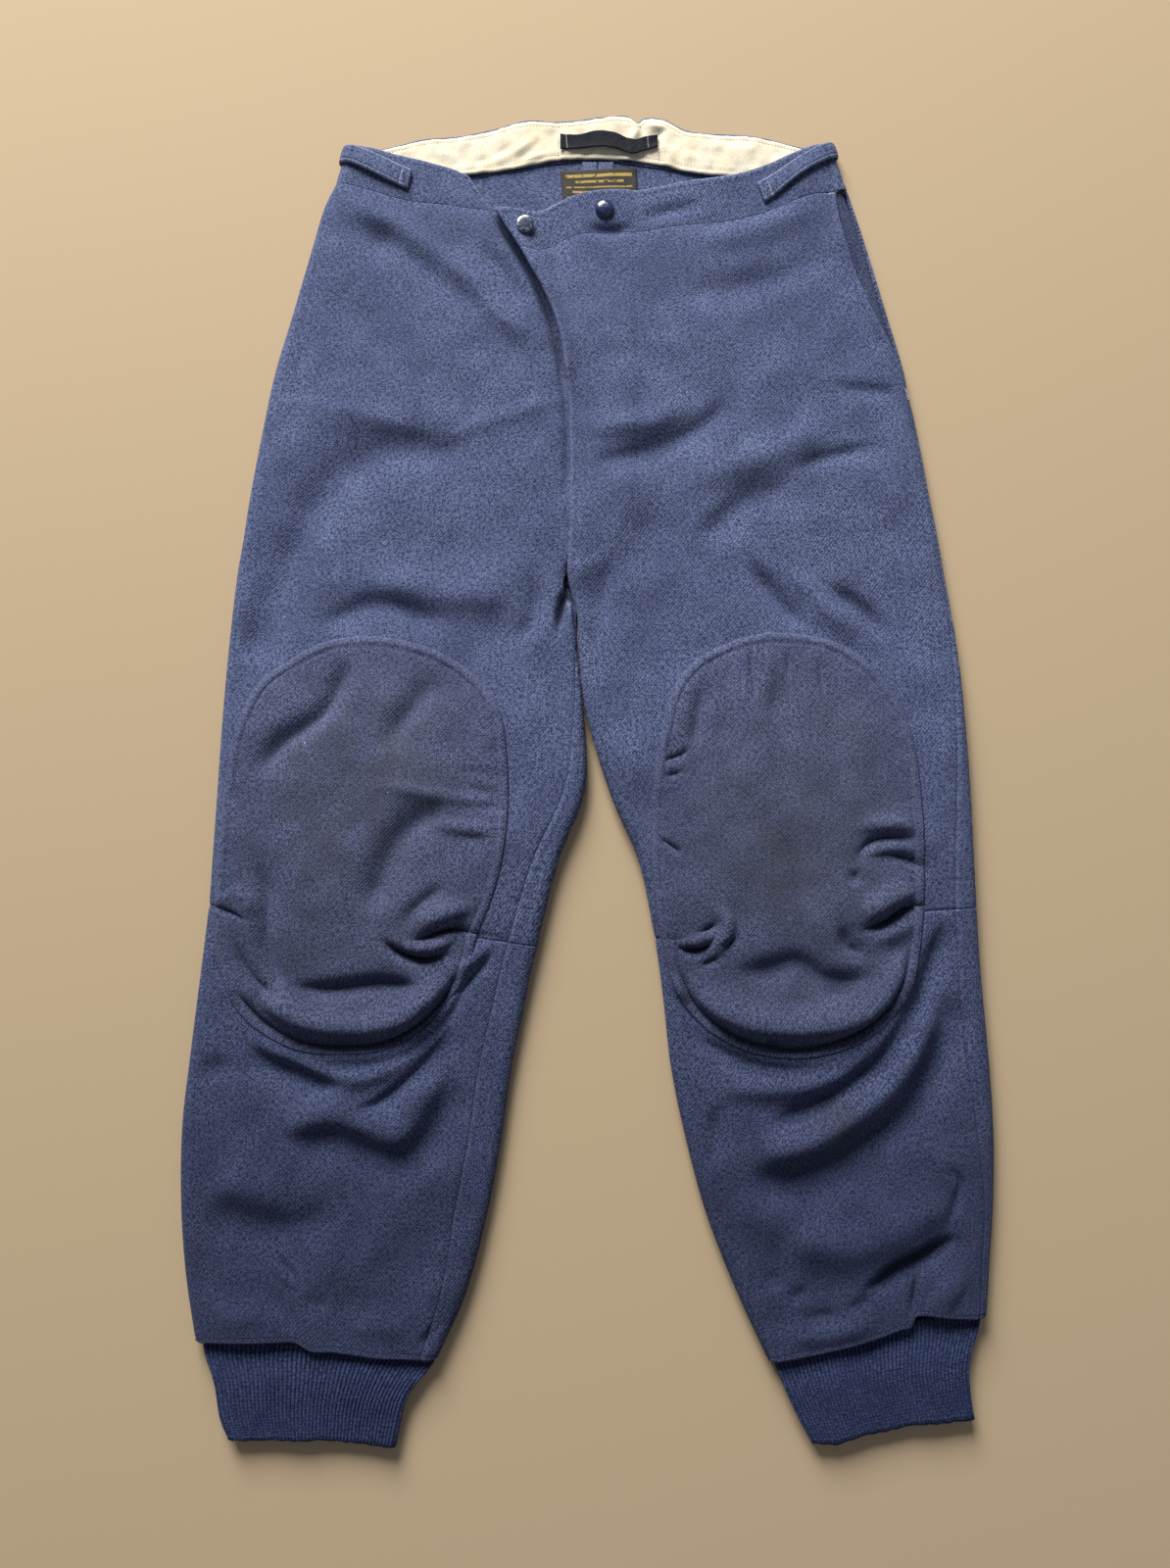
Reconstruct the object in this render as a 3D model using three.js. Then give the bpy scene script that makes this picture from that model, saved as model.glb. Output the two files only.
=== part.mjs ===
import * as THREE from 'three';

// Flying trousers, laid flat on their back, in millimetres.
// The waist points to +Y and the cuffs to -Y. The wearer's right leg lies at -X.
// Each leg is a flattened tube of cloth. Its place is given by two numbers: "down", the way
// from the waist seam towards the cuff, and "round", the way over the top from the outer edge
// to the inner edge and then back along the underside.

const CLOTH = 1.6; // wool twill
const BAND = 2.4; // waistband, two layers and an interlining
const COTTON = 1.0; // waist facing
const TAPE = 1.0; // hanger loop and label
const KNIT = 2.4; // rib cuff
const SEAM = 0.3; // clear way between two pieces at a seam
const LAYER = 0.3; // clear way between two layers
const LAP = 3.0; // rise of the fly flap over the cloth below it
const LAP_REACH = 42; // the flap comes down to the cloth over this way

const BAND_TALL = 36;
const KNEE = 565; // knee seam, down from the waist seam
const HEM = 865;
const CROTCH = 372;
const ROLL = 9; // half-round fold along the edges of a leg, on top
const ROLL_UNDER = 6;
const LOWEST = 4.5; // the top cloth never comes nearer to the floor than this
const CENTRE_BACK = 9;
const MIDDLE = { x: 0.4, y: 2 }; // middle of the whole garment, in the places of the tables below

// Stations of the two legs. outer: outer edge of the leg. front: end of the front cloth, which is
// the fly edge above the crotch and the inner edge of the leg below it. back: end of the back cloth.
// level: height of the front cloth. sag: how far the row dips between its ends.
const RIGHT_ROWS = [
  { down: -36, outer: [-198, 498], front: [-98, 474], back: [9, 529], level: 11, sag: 3 },
  { down: 0, outer: [-206, 468], front: [-77, 443], back: [9, 492], level: 11, sag: -4 },
  { down: 55, outer: [-224, 412], front: [-38, 402], back: [9, 430], level: 11, sag: 0 },
  { down: 105, outer: [-238, 358], front: [-2, 352], back: [9, 370], level: 11.5, sag: 0 },
  { down: 160, outer: [-252, 305], front: [22, 300], back: [9, 310], level: 12, sag: 0 },
  { down: 215, outer: [-262, 250], front: [30, 248], back: [9, 255], level: 12, sag: 0 },
  { down: 265, outer: [-270, 200], front: [28, 196], back: [8, 202], level: 12, sag: 0 },
  { down: 295, outer: [-274, 168], front: [10, 163], back: [5, 168], level: 12, sag: 0 },
  { down: 320, outer: [-278, 140], front: [-17, 138], back: [-1, 143], level: 12, sag: 0 },
  { down: 350, outer: [-281, 108], front: [-12, 110], back: [-9, 112], level: 12, sag: 0 },
  { down: 372, outer: [-283, 84], front: [-9.5, 88], back: [-9.5, 88], level: 12, sag: 0 },
  { down: 400, outer: [-285, 52], front: [-6.5, 56], back: [-6.5, 56], level: 13, sag: 0 },
  { down: 435, outer: [-287, 12], front: [-2, 20], back: [-2, 20], level: 14, sag: 0 },
  { down: 480, outer: [-289, -35], front: [-2, -32], back: [-2, -32], level: 14, sag: 0 },
  { down: 525, outer: [-291, -80], front: [-23, -88], back: [-23, -88], level: 14, sag: 0 },
  { down: 565, outer: [-293, -121], front: [-39, -153], back: [-39, -153], level: 14, sag: 2 },
  { down: 605, outer: [-298, -172], front: [-48, -194], back: [-48, -194], level: 13, sag: 0 },
  { down: 655, outer: [-304, -232], front: [-59, -250], back: [-59, -250], level: 13, sag: 0 },
  { down: 710, outer: [-309, -290], front: [-67, -305], back: [-67, -305], level: 13, sag: 0 },
  { down: 765, outer: [-308, -348], front: [-77, -358], back: [-77, -358], level: 13, sag: 0 },
  { down: 815, outer: [-303, -398], front: [-91, -410], back: [-91, -410], level: 13, sag: 0 },
  { down: 865, outer: [-294, -447], front: [-113, -460], back: [-113, -460], level: 14, sag: 0 },
];

const LEFT_ROWS = [
  { down: -36, outer: [200, 502], front: [-75, 443], back: [9, 529], level: 11, sag: -9 },
  { down: 0, outer: [213, 462], front: [-54, 410], back: [9, 492], level: 11, sag: -6 },
  { down: 55, outer: [228, 412], front: [-34, 370], back: [9, 430], level: 11, sag: 0 },
  { down: 105, outer: [242, 360], front: [-22, 338], back: [9, 370], level: 11.5, sag: 0 },
  { down: 160, outer: [256, 307], front: [-15, 290], back: [9, 310], level: 12, sag: 0 },
  { down: 215, outer: [266, 253], front: [-13, 243], back: [9, 255], level: 12, sag: 0 },
  { down: 265, outer: [274, 205], front: [-13, 198], back: [8, 202], level: 12, sag: 0 },
  { down: 295, outer: [280, 170], front: [-14, 165], back: [5, 168], level: 12, sag: 0 },
  { down: 320, outer: [284, 142], front: [-15, 138], back: [1, 143], level: 12, sag: 0 },
  { down: 350, outer: [289, 110], front: [-8, 110], back: [-5, 112], level: 12, sag: 0 },
  { down: 372, outer: [292, 85], front: [-6.5, 88], back: [-6.5, 88], level: 12, sag: 0 },
  { down: 400, outer: [295, 55], front: [-3.5, 56], back: [-3.5, 56], level: 13, sag: 0 },
  { down: 435, outer: [298, 12], front: [3, 20], back: [3, 20], level: 14, sag: 0 },
  { down: 480, outer: [300, -35], front: [20, -38], back: [20, -38], level: 14, sag: 0 },
  { down: 525, outer: [301, -80], front: [41, -88], back: [41, -88], level: 14, sag: 0 },
  { down: 565, outer: [302, -123], front: [53, -147], back: [53, -147], level: 14, sag: 2 },
  { down: 605, outer: [304, -172], front: [59, -190], back: [59, -190], level: 13, sag: 0 },
  { down: 655, outer: [308, -235], front: [65, -245], back: [65, -245], level: 13, sag: 0 },
  { down: 710, outer: [310, -296], front: [77, -303], back: [77, -303], level: 13, sag: 0 },
  { down: 765, outer: [308, -346], front: [92, -357], back: [92, -357], level: 13, sag: 0 },
  { down: 815, outer: [304, -388], front: [113, -410], back: [113, -410], level: 13, sag: 0 },
  { down: 865, outer: [300, -428], front: [137, -462], back: [137, -462], level: 14, sag: 2 },
];

// Leg seams, as the way in from the edge over the top. A minus sign puts the seam on the underside.
const RIGHT_SEAMS = {
  outseam: [[-36, -8], [865, -8]],
  pocketBack: [[0, -18], [133, -18], [160, -8.3]],
  inseam: [[372, 0], [400, 3], [480, 16], [565, 22], [655, 24], [765, 24], [865, 12]],
};
const LEFT_SEAMS = {
  outseam: [[-36, 7], [0, 10], [30, 15], [70, 15], [105, 11], [135, 5], [160, 1], [265, 2],
    [350, 2], [480, 12], [565, 18], [655, 18], [710, 13], [765, 7], [865, 5]],
  pocketBack: [[0, 0.4], [160, 0.7]],
  inseam: [[372, 0], [395, -8], [865, -8]],
};
const POCKET_END = 165;
const TIP = 0.1; // width of a pointed end

const LEGS = {
  right: { name: 'right', side: 1, rows: RIGHT_ROWS, seams: RIGHT_SEAMS },
  left: { name: 'left', side: -1, rows: LEFT_ROWS, seams: LEFT_SEAMS },
};

// Folds of the front cloth: a line from one point to another, the half width of the fold, and its
// height, which is negative in a trough.
const FOLDS = [
  { from: [-262, -172], to: [-200, -196], wide: 22, high: 8 },
  { from: [-200, -196], to: [-120, -180], wide: 22, high: 9 },
  { from: [-120, -180], to: [-82, -135], wide: 16, high: 5 },
  { from: [-262, -222], to: [-190, -244], wide: 11, high: -6 },
  { from: [-190, -244], to: [-112, -222], wide: 11, high: -6 },
  { from: [-258, -248], to: [-185, -272], wide: 14, high: 5 },
  { from: [-165, -165], to: [-100, -142], wide: 9, high: -6 },
  { from: [-168, -120], to: [-95, -20], wide: 22, high: 4 },
  { from: [-262, -20], to: [-180, 70], wide: 24, high: 4 },
  { from: [-190, 100], to: [-90, 110], wide: 18, high: -3 },
  { from: [-250, 190], to: [-60, 140], wide: 30, high: 3 },
  { from: [-120, 400], to: [-30, 300], wide: 20, high: -3 },
  { from: [-230, -290], to: [-110, -300], wide: 22, high: 3 },
  { from: [76, -175], to: [130, -200], wide: 20, high: 8 },
  { from: [130, -200], to: [215, -196], wide: 22, high: 8 },
  { from: [215, -196], to: [245, -150], wide: 14, high: 6 },
  { from: [92, -222], to: [150, -248], wide: 11, high: -6 },
  { from: [150, -248], to: [225, -236], wide: 11, high: -6 },
  { from: [215, -138], to: [258, -124], wide: 9, high: -6 },
  { from: [205, -95], to: [250, -75], wide: 14, high: 4 },
  { from: [72, -150], to: [102, -152], wide: 9, high: -5 },
  { from: [150, 30], to: [178, -110], wide: 18, high: -4 },
  { from: [280, -140], to: [190, -272], wide: 16, high: 5 },
  { from: [262, -290], to: [175, -335], wide: 18, high: 4 },
  { from: [275, -370], to: [205, -415], wide: 14, high: -5 },
  { from: [60, 130], to: [230, 230], wide: 30, high: 3 },
  { from: [120, 330], to: [220, 400], wide: 26, high: 2.5 },
];

// Knee patches: rounded ovals. lean moves the middle sideways for each millimetre up the leg.
const PATCHES = {
  right: { middle: [-176, -72], half: [112, 163], lean: 0.08 },
  left: { middle: [155.5, -72.5], half: [105.5, 165.5], lean: -0.02 },
};
const PATCH_ROUND = 2.4;
const PATCH_RISE = 0.5; // clear way under the patch

// Rib cuffs. top: inside the hem, on the cloth below. free: past the hem, down on the floor.
// end: the open end.
const CUFFS = {
  right: [
    { place: 'top', outer: [-287, -444], inner: [-121, -455], level: 10.2, lift: 2.4 },
    { place: 'free', outer: [-283, -462], inner: [-126, -473], level: 10.2, lift: 0 },
    { place: 'end', outer: [-268, -518], inner: [-141, -525], level: 9.6, lift: 0 },
  ],
  left: [
    { place: 'top', outer: [294, -425], inner: [146, -457], level: 10.2, lift: 2.4 },
    { place: 'free', outer: [291, -444], inner: [152, -476], level: 10.2, lift: 0 },
    { place: 'end', outer: [290, -503], inner: [171, -521], level: 9.6, lift: 0 },
  ],
};
const CUFF_RIBS = 48; // ribs over the front of one cuff
const RIB_HIGH = 0.7;
const CUFF_ROLL = 4;

const SNAP_CAP = { middle: [15, 445], radius: 8, high: 4.6 };
const SNAP_RING = { middle: [-50, 431], radius: 7.3, high: 2.4 };
const LOOP = { from: [-22, 509], to: [59, 507], tall: 13, arch: 1.6 };
const LABEL = { low: [-21, 443], high: [41, 483] };

const WOOL = { color: 0x434e75, roughness: 0.93 };
const PATCH_WOOL = { color: 0x444a65, roughness: 0.94 };
const RIB_KNIT = { color: 0x303a5e, roughness: 0.95 };
const FACING_COTTON = { color: 0xe9dcbb, roughness: 0.9 };
const LOOP_TAPE = { color: 0x1d1f29, roughness: 0.85 };
const WOVEN_LABEL = { color: 0x232323, roughness: 0.8 };
const NAVY_ENAMEL = { color: 0x101a38, roughness: 0.25, metalness: 0.3 };
const WORN_METAL = { color: 0x7b8190, roughness: 0.4, metalness: 0.8 };

// Curves through the rows of a table

function slopeAt(xs, ys, i) {
  const a = Math.max(i - 1, 0);
  const b = Math.min(i + 1, xs.length - 1);
  return (ys[b] - ys[a]) / (xs[b] - xs[a]);
}

function curveAt(xs, ys, x) {
  let i = 0;
  while (i < xs.length - 2 && x > xs[i + 1]) i += 1;
  const span = xs[i + 1] - xs[i];
  const t = THREE.MathUtils.clamp((x - xs[i]) / span, 0, 1);
  const bend = t * t * (3 - 2 * t);
  const start = t * (1 - t) * (1 - t) * span * slopeAt(xs, ys, i);
  const end = t * t * (1 - t) * span * slopeAt(xs, ys, i + 1);
  return ys[i] + (ys[i + 1] - ys[i]) * bend + start - end;
}

function lineAt(pairs, x) {
  let i = 0;
  while (i < pairs.length - 2 && x > pairs[i + 1][0]) i += 1;
  const [x0, y0] = pairs[i];
  const [x1, y1] = pairs[i + 1];
  return y0 + (y1 - y0) * THREE.MathUtils.clamp((x - x0) / (x1 - x0), 0, 1);
}

function columnsOf(rows) {
  const numbers = { down: rows.map((row) => row.down) };
  for (const key of ['level', 'sag']) numbers[key] = rows.map((row) => row[key]);
  for (const key of ['outer', 'front', 'back']) {
    numbers[`${key}X`] = rows.map((row) => row[key][0]);
    numbers[`${key}Y`] = rows.map((row) => row[key][1]);
  }
  return numbers;
}
for (const leg of Object.values(LEGS)) leg.columns = columnsOf(leg.rows);

// Heights

function foldHeight(x, y) {
  let sum = 0;
  for (const { from, to, wide, high } of FOLDS) {
    const [dx, dy] = [to[0] - from[0], to[1] - from[1]];
    const long = Math.hypot(dx, dy);
    const along = ((x - from[0]) * dx + (y - from[1]) * dy) / long;
    const across = ((x - from[0]) * dy - (y - from[1]) * dx) / long;
    const past = Math.max(-along, along - long, 0);
    sum += high * Math.exp(-((across / wide) ** 2) - (past / wide) ** 2);
  }
  return sum;
}

// Where the free edge of the right front lies under the fly flap, at a height y.
function underlapEdge(y) {
  const open = RIGHT_ROWS.filter((row) => row.down <= 320);
  const pairs = open.map((row) => [-row.front[1], row.front[0]]);
  return lineAt(pairs, -y);
}

function flapRise(x, y) {
  if (y < 120) return 0;
  const over = THREE.MathUtils.smoothstep(underlapEdge(y) + LAP_REACH - x, 0, LAP_REACH - 4);
  return LAP * over * THREE.MathUtils.smoothstep(y, 122, 150);
}

function rolled(part) {
  const t = THREE.MathUtils.clamp(part, 0, 1);
  return Math.sqrt(1 - (1 - t) * (1 - t));
}

// One row of a leg

function rowAt(leg, down) {
  const table = leg.columns;
  const at = (key) => curveAt(table.down, table[key], down);
  const outer = new THREE.Vector2(at('outerX'), at('outerY'));
  const front = new THREE.Vector2(at('frontX'), at('frontY'));
  const back = new THREE.Vector2(at('backX'), at('backY'));
  return {
    outer,
    front,
    back,
    level: at('level'),
    sag: at('sag'),
    closed: THREE.MathUtils.smoothstep(down, CROTCH - 45, CROTCH),
    top: outer.distanceTo(front),
    under: outer.distanceTo(back),
  };
}

function topPoint(leg, row, way) {
  const part = way / row.top;
  const x = THREE.MathUtils.lerp(row.outer.x, row.front.x, part);
  const y = THREE.MathUtils.lerp(row.outer.y, row.front.y, part) + row.sag * 4 * part * (1 - part);
  const inEdge = row.top - way;
  const near = Math.min(way, THREE.MathUtils.lerp(100, inEdge, row.closed));
  const calm = THREE.MathUtils.smoothstep(near, 2, 22);
  const lap = leg.name === 'left' ? flapRise(x, y) : 0;
  const full = Math.max(row.level + lap + foldHeight(x, y) * calm, LOWEST);
  const middle = row.level / 2;
  const outerRoll = rolled(way / ROLL);
  const innerRoll = THREE.MathUtils.lerp(1, rolled(inEdge / ROLL), row.closed);
  return new THREE.Vector3(x, y, middle + (full - middle) * outerRoll * innerRoll);
}

function underPoint(row, way) {
  const part = way / row.under;
  const x = THREE.MathUtils.lerp(row.back.x, row.outer.x, part);
  const y = THREE.MathUtils.lerp(row.back.y, row.outer.y, part);
  const rest = CLOTH / 2;
  const rise = row.level / 2 - rest;
  const atOuter = 1 - rolled((row.under - way) / ROLL_UNDER);
  const atInner = (1 - rolled(way / ROLL_UNDER)) * row.closed;
  return new THREE.Vector3(x, y, rest + rise * (atOuter + atInner));
}

function legPoint(leg, down, round) {
  const row = rowAt(leg, down);
  const whole = row.top + row.under;
  if (round < 0) return underPoint(row, row.under + round);
  if (round <= row.top) return topPoint(leg, row, round);
  if (round > whole) return topPoint(leg, row, round - whole);
  return underPoint(row, round - row.top);
}

// The outward normal of one row, from two short steps that stay on the same layer where the row is
// open. It has no part along Y, so that the ends of two pieces stay apart at a seam.
function legNormal(leg, down, round) {
  const step = 0.4;
  const row = rowAt(leg, down);
  let before = round - step;
  let after = round + step;
  if (row.closed < 1 && round <= row.top) after = Math.min(after, row.top);
  if (row.closed < 1 && round > row.top) before = Math.max(before, row.top + 0.001);
  const across = legPoint(leg, down, after).sub(legPoint(leg, down, before));
  return new THREE.Vector3(-across.z, 0, across.x).multiplyScalar(leg.side).normalize();
}

function seamAt(leg, name, down) {
  return lineAt(leg.seams[name], down);
}

// Seams of one row, as ways round the tube
function seamsOf(leg, down) {
  const row = rowAt(leg, down);
  const outseam = seamAt(leg, 'outseam', down);
  const pocket = down > 0 && down < POCKET_END;
  const backOut = pocket ? seamAt(leg, 'pocketBack', down) : outseam;
  const inseam = down < CROTCH ? row.top : row.top - seamAt(leg, 'inseam', down);
  return { row, outseam, backOut, inseam, whole: row.top + row.under };
}

// Columns across a panel from one seam to the other, closer together where it turns round an edge.
function spread(start, end, count, turnAtStart, turnAtEnd) {
  const [from, to] = [start + SEAM / 2, end - SEAM / 2];
  const turn = (way) => {
    const reach = Math.max(way, 6);
    return [0, reach / 2, reach, reach + 4, reach + 10];
  };
  const first = turnAtStart === null ? [0] : turn(turnAtStart);
  const last = turnAtEnd === null ? [0] : turn(turnAtEnd);
  const low = from + first[first.length - 1];
  const high = to - last[last.length - 1];
  const ways = first.map((way) => from + way);
  for (let i = 1; i < count; i += 1) ways.push(low + ((high - low) * i) / count);
  return ways.concat(last.reverse().map((way) => to - way));
}

function frontColumns(leg, down, count) {
  const { row, outseam, inseam } = seamsOf(leg, down);
  const turnOuter = leg.name === 'right' ? -outseam : null;
  const turnInner = leg.name === 'left' ? (inseam - row.top) : null;
  return spread(outseam, inseam, count, turnOuter, turnInner);
}

function backColumns(leg, down, count) {
  const { row, backOut, inseam, whole } = seamsOf(leg, down);
  const turnInner = leg.name === 'right' ? row.top - inseam : null;
  const turnOuter = leg.name === 'left' ? backOut : null;
  return spread(inseam, whole + backOut, count, turnInner, turnOuter);
}

// Walls

// Turns a grid of places into a closed wall. A place has a point and a normal. keep says which
// triangles are made. low and high are the two faces' ways from the point, along the normal.
// A tube's last column is its first one again, so both have the same key.
function wallGeometry(grid, low, high, keep, reliefAt, tube = false) {
  const face = (place, way) => place.point.clone().addScaledVector(place.normal, way);
  const inner = grid.map((line) => line.map((place) => face(place, low)));
  const relief = (i, j) => (reliefAt ? reliefAt(i, j) : 0);
  const outer = grid.map((line, i) => line.map((place, j) => face(place, high + relief(i, j))));
  const around = tube ? grid[0].length - 1 : Infinity;
  const corners = [];
  const edges = new Map();
  const triangle = (a, b, c) => corners.push(a, b, c);
  const noteEdge = (a, b) => {
    const back = `${b}:${a}`;
    if (edges.has(back)) edges.delete(back);
    else edges.set(`${a}:${b}`, [a, b]);
  };
  const at = (layer, key) => {
    const [i, j] = key.split(',').map(Number);
    return layer[i][j];
  };
  for (let i = 0; i < grid.length - 1; i += 1) {
    for (let j = 0; j < grid[i].length - 1; j += 1) {
      const quad = [[i, j], [i + 1, j], [i + 1, j + 1], [i, j + 1]];
      for (const three of keep(quad)) {
        const keys = three.map(([row, column]) => `${row},${column % around}`);
        triangle(...keys.map((key) => at(outer, key)));
        triangle(...keys.map((key) => at(inner, key)).reverse());
        keys.forEach((key, k) => noteEdge(key, keys[(k + 1) % 3]));
      }
    }
  }
  for (const [a, b] of edges.values()) {
    triangle(at(outer, b), at(outer, a), at(inner, a));
    triangle(at(outer, b), at(inner, a), at(inner, b));
  }
  const numbers = new Float32Array(corners.flatMap((corner) => corner.toArray()));
  const geometry = new THREE.BufferGeometry();
  geometry.setAttribute('position', new THREE.BufferAttribute(numbers, 3));
  geometry.computeVertexNormals();
  return geometry;
}

// Both triangles of a quad, turned so that the outer face points out on this side of the body.
// cut is the corner that the diagonal leaves alone.
function halves(quad, turned, cut = 0) {
  const [a, b, c, d] = quad;
  const pair = cut % 2 === 0 ? [[a, b, d], [b, c, d]] : [[a, b, c], [a, c, d]];
  return turned ? pair.map((three) => [...three].reverse()) : pair;
}

const everyHalf = (turned) => (quad) => halves(quad, turned);

const group = new THREE.Group();

function addPiece(name, geometry, look) {
  const mesh = new THREE.Mesh(geometry, new THREE.MeshStandardMaterial(look));
  mesh.name = name;
  group.add(mesh);
}

function placesAt(leg, downs, columns) {
  return downs.map((down) => columns(down).map((round) => ({ down, round })));
}

function fillGrid(leg, places) {
  return places.map((line) => line.map(({ down, round }) => ({
    point: legPoint(leg, down, round),
    normal: legNormal(leg, down, round),
  })));
}

function evenly(start, end, count) {
  return Array.from({ length: count + 1 }, (_, i) => start + ((end - start) * i) / count);
}

const UPPER_DOWNS = [...evenly(SEAM / 2, 320, 12), ...evenly(346, KNEE - SEAM / 2, 11)];
const LOWER_DOWNS = [...evenly(KNEE + SEAM / 2, 705, 8), ...evenly(733, HEM, 5)];
const FRONT_COLUMNS = 13;
const BACK_COLUMNS = 5;

// Knee patches

// How far a point lies outside a patch's edge, and the way out.
function patchDistance(patch, x, y) {
  const dy = y - patch.middle[1];
  const a = (x - patch.middle[0] - patch.lean * dy) / patch.half[0];
  const b = dy / patch.half[1];
  const size = Math.abs(a) ** PATCH_ROUND + Math.abs(b) ** PATCH_ROUND;
  const slopeX = (PATCH_ROUND * Math.abs(a) ** (PATCH_ROUND - 1) * Math.sign(a)) / patch.half[0];
  const slopeB = (PATCH_ROUND * Math.abs(b) ** (PATCH_ROUND - 1) * Math.sign(b)) / patch.half[1];
  const out = new THREE.Vector2(slopeX, slopeB - patch.lean * slopeX);
  const steep = Math.max(out.length(), 0.004);
  return { far: (size - 1) / steep, out: out.divideScalar(steep) };
}

const SNAP_REACH = 9.5;
const ON_EDGE = 0.4;

// Moves the places near a patch's edge onto it, so that the patch and the panel share them.
function fitToPatch(leg, places) {
  const patch = PATCHES[leg.name];
  const inside = (place) => {
    const { top } = rowAt(leg, place.down);
    const onTop = place.round > 1 && place.round < top - 1;
    const point = legPoint(leg, place.down, place.round);
    const found = patchDistance(patch, point.x, point.y);
    return onTop ? found : { far: SNAP_REACH * 2, out: found.out };
  };
  const lastLine = places.length - 1;
  return places.map((line, i) => line.map((place, j) => {
    const fixed = i === 0 || i === lastLine;
    const moved = { ...place };
    const start = inside(moved);
    if (Math.abs(start.far) < SNAP_REACH && j > 0 && j < line.length - 1) {
      for (let turn = 0; turn < 4; turn += 1) {
        const { far, out } = inside(moved);
        moved.round -= (far * out.x * leg.side) / (fixed ? Math.max(out.x * out.x, 0.3) : 1);
        if (!fixed) moved.down += far * out.y;
      }
    }
    moved.far = inside(moved).far;
    if (Math.abs(moved.far) < ON_EDGE) moved.far = 0;
    return moved;
  }));
}

// The diagonal leaves a corner outside the patch alone.
function patchCut(places, quad) {
  const outside = quad.map(([i, j]) => places[i][j].far > 0);
  const alone = outside.indexOf(true);
  return alone >= 0 && outside.filter(Boolean).length === 1 ? alone : 0;
}

// Pieces of the legs

function addLeg(leg) {
  const turned = leg.side < 0;
  const half = CLOTH / 2;
  const front = (down) => frontColumns(leg, down, FRONT_COLUMNS);
  const back = (down) => backColumns(leg, down, BACK_COLUMNS);
  const upper = fitToPatch(leg, placesAt(leg, UPPER_DOWNS, front));
  const lower = fitToPatch(leg, placesAt(leg, LOWER_DOWNS, front));
  const cutBy = (places) => (quad) => halves(quad, turned, patchCut(places, quad));
  addPiece(`front_${leg.name}_upper`,
    wallGeometry(fillGrid(leg, upper), -half, half, cutBy(upper)), WOOL);
  addPiece(`front_${leg.name}_lower`,
    wallGeometry(fillGrid(leg, lower), -half, half, cutBy(lower)), WOOL);
  const backUpper = fillGrid(leg, placesAt(leg, UPPER_DOWNS, back));
  addPiece(`back_${leg.name}_upper`,
    wallGeometry(backUpper, -half, half, everyHalf(turned)), WOOL);
  const backLower = fillGrid(leg, placesAt(leg, LOWER_DOWNS, back));
  addPiece(`back_${leg.name}_lower`,
    wallGeometry(backLower, -half, half, everyHalf(turned)), WOOL);

  const whole = [...upper, ...lower.slice(1)];
  const inPatch = (quad) => cutBy(whole)(quad)
    .filter((three) => three.every(([i, j]) => whole[i][j].far <= 0));
  const under = half + PATCH_RISE;
  addPiece(`knee_patch_${leg.name}`,
    wallGeometry(fillGrid(leg, whole), under, under + CLOTH, inPatch), PATCH_WOOL);
}

// A strip of the tube between two seams, such as a pocket bearer or a part of the waistband.
function stripGeometry(leg, downs, columns, low, high) {
  const grid = fillGrid(leg, placesAt(leg, downs, columns));
  return wallGeometry(grid, low, high, everyHalf(leg.side < 0));
}

// The bearer fills the way from the pocket mouth to the side seam, down to a point.
function addPocketBearer(leg) {
  const downs = UPPER_DOWNS.filter((down) => down < POCKET_END);
  const columns = (down) => {
    const { outseam, backOut } = seamsOf(leg, down);
    const end = outseam - SEAM / 2;
    const start = Math.min(backOut + SEAM, end - TIP);
    const edge = THREE.MathUtils.clamp(-SEAM / 2, start, end);
    return [start, (start + edge) / 2, edge, (edge + end) / 2, end];
  };
  addPiece(`pocket_bearer_${leg.name}`,
    stripGeometry(leg, downs, columns, -CLOTH / 2, CLOTH / 2), WOOL);
}

// Waistband

const BAND_DOWNS = evenly(-BAND_TALL, -SEAM, 2);

function addWaistband(leg) {
  const low = CLOTH / 2 - BAND;
  const front = (down) => frontColumns(leg, down, 11);
  const back = (down) => backColumns(leg, down, BACK_COLUMNS);
  addPiece(`waistband_front_${leg.name}`,
    stripGeometry(leg, BAND_DOWNS, front, low, CLOTH / 2), WOOL);
  addPiece(`waistband_back_${leg.name}`,
    stripGeometry(leg, BAND_DOWNS, back, low, CLOTH / 2), WOOL);
}

// Each tab turns round the side and lies on the front waistband. ways: its columns, from the side
// inwards. topAtSide and topAtEnd: its upper edge, measured as the rows are.
const TABS = {
  right: { ways: [0.15, 4.15, 10.15, 20, 32, 45, 58], topAtSide: -35, topAtEnd: -25 },
  left: { ways: [-0.15, 3.35, 6.85, 14, 25, 38, 52, 66], topAtSide: -35, topAtEnd: -24 },
};
const TAB_TALL = 15;
const TAB_RISE = 0.9;

function addWaistTab(leg) {
  const { ways, topAtSide, topAtEnd } = TABS[leg.name];
  const end = ways[ways.length - 1];
  const places = [0, 0.5, 1].map((part) => ways.map((round) => {
    const top = THREE.MathUtils.lerp(topAtSide, topAtEnd, round / end);
    return { down: top + TAB_TALL * part, round };
  }));
  const low = CLOTH / 2 + TAB_RISE;
  const geometry = wallGeometry(fillGrid(leg, places), low, low + BAND, everyHalf(leg.side < 0));
  addPiece(`waist_tab_${leg.name}`, geometry, WOOL);
}

// Inside of the back waistband

function flatGrid(xs, rowsOf, zAt) {
  return rowsOf.map((rowY) => xs.map((x) => ({
    point: new THREE.Vector3(x, rowY(x), zAt(x)),
    normal: new THREE.Vector3(0, 0, 1),
  })));
}

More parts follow.
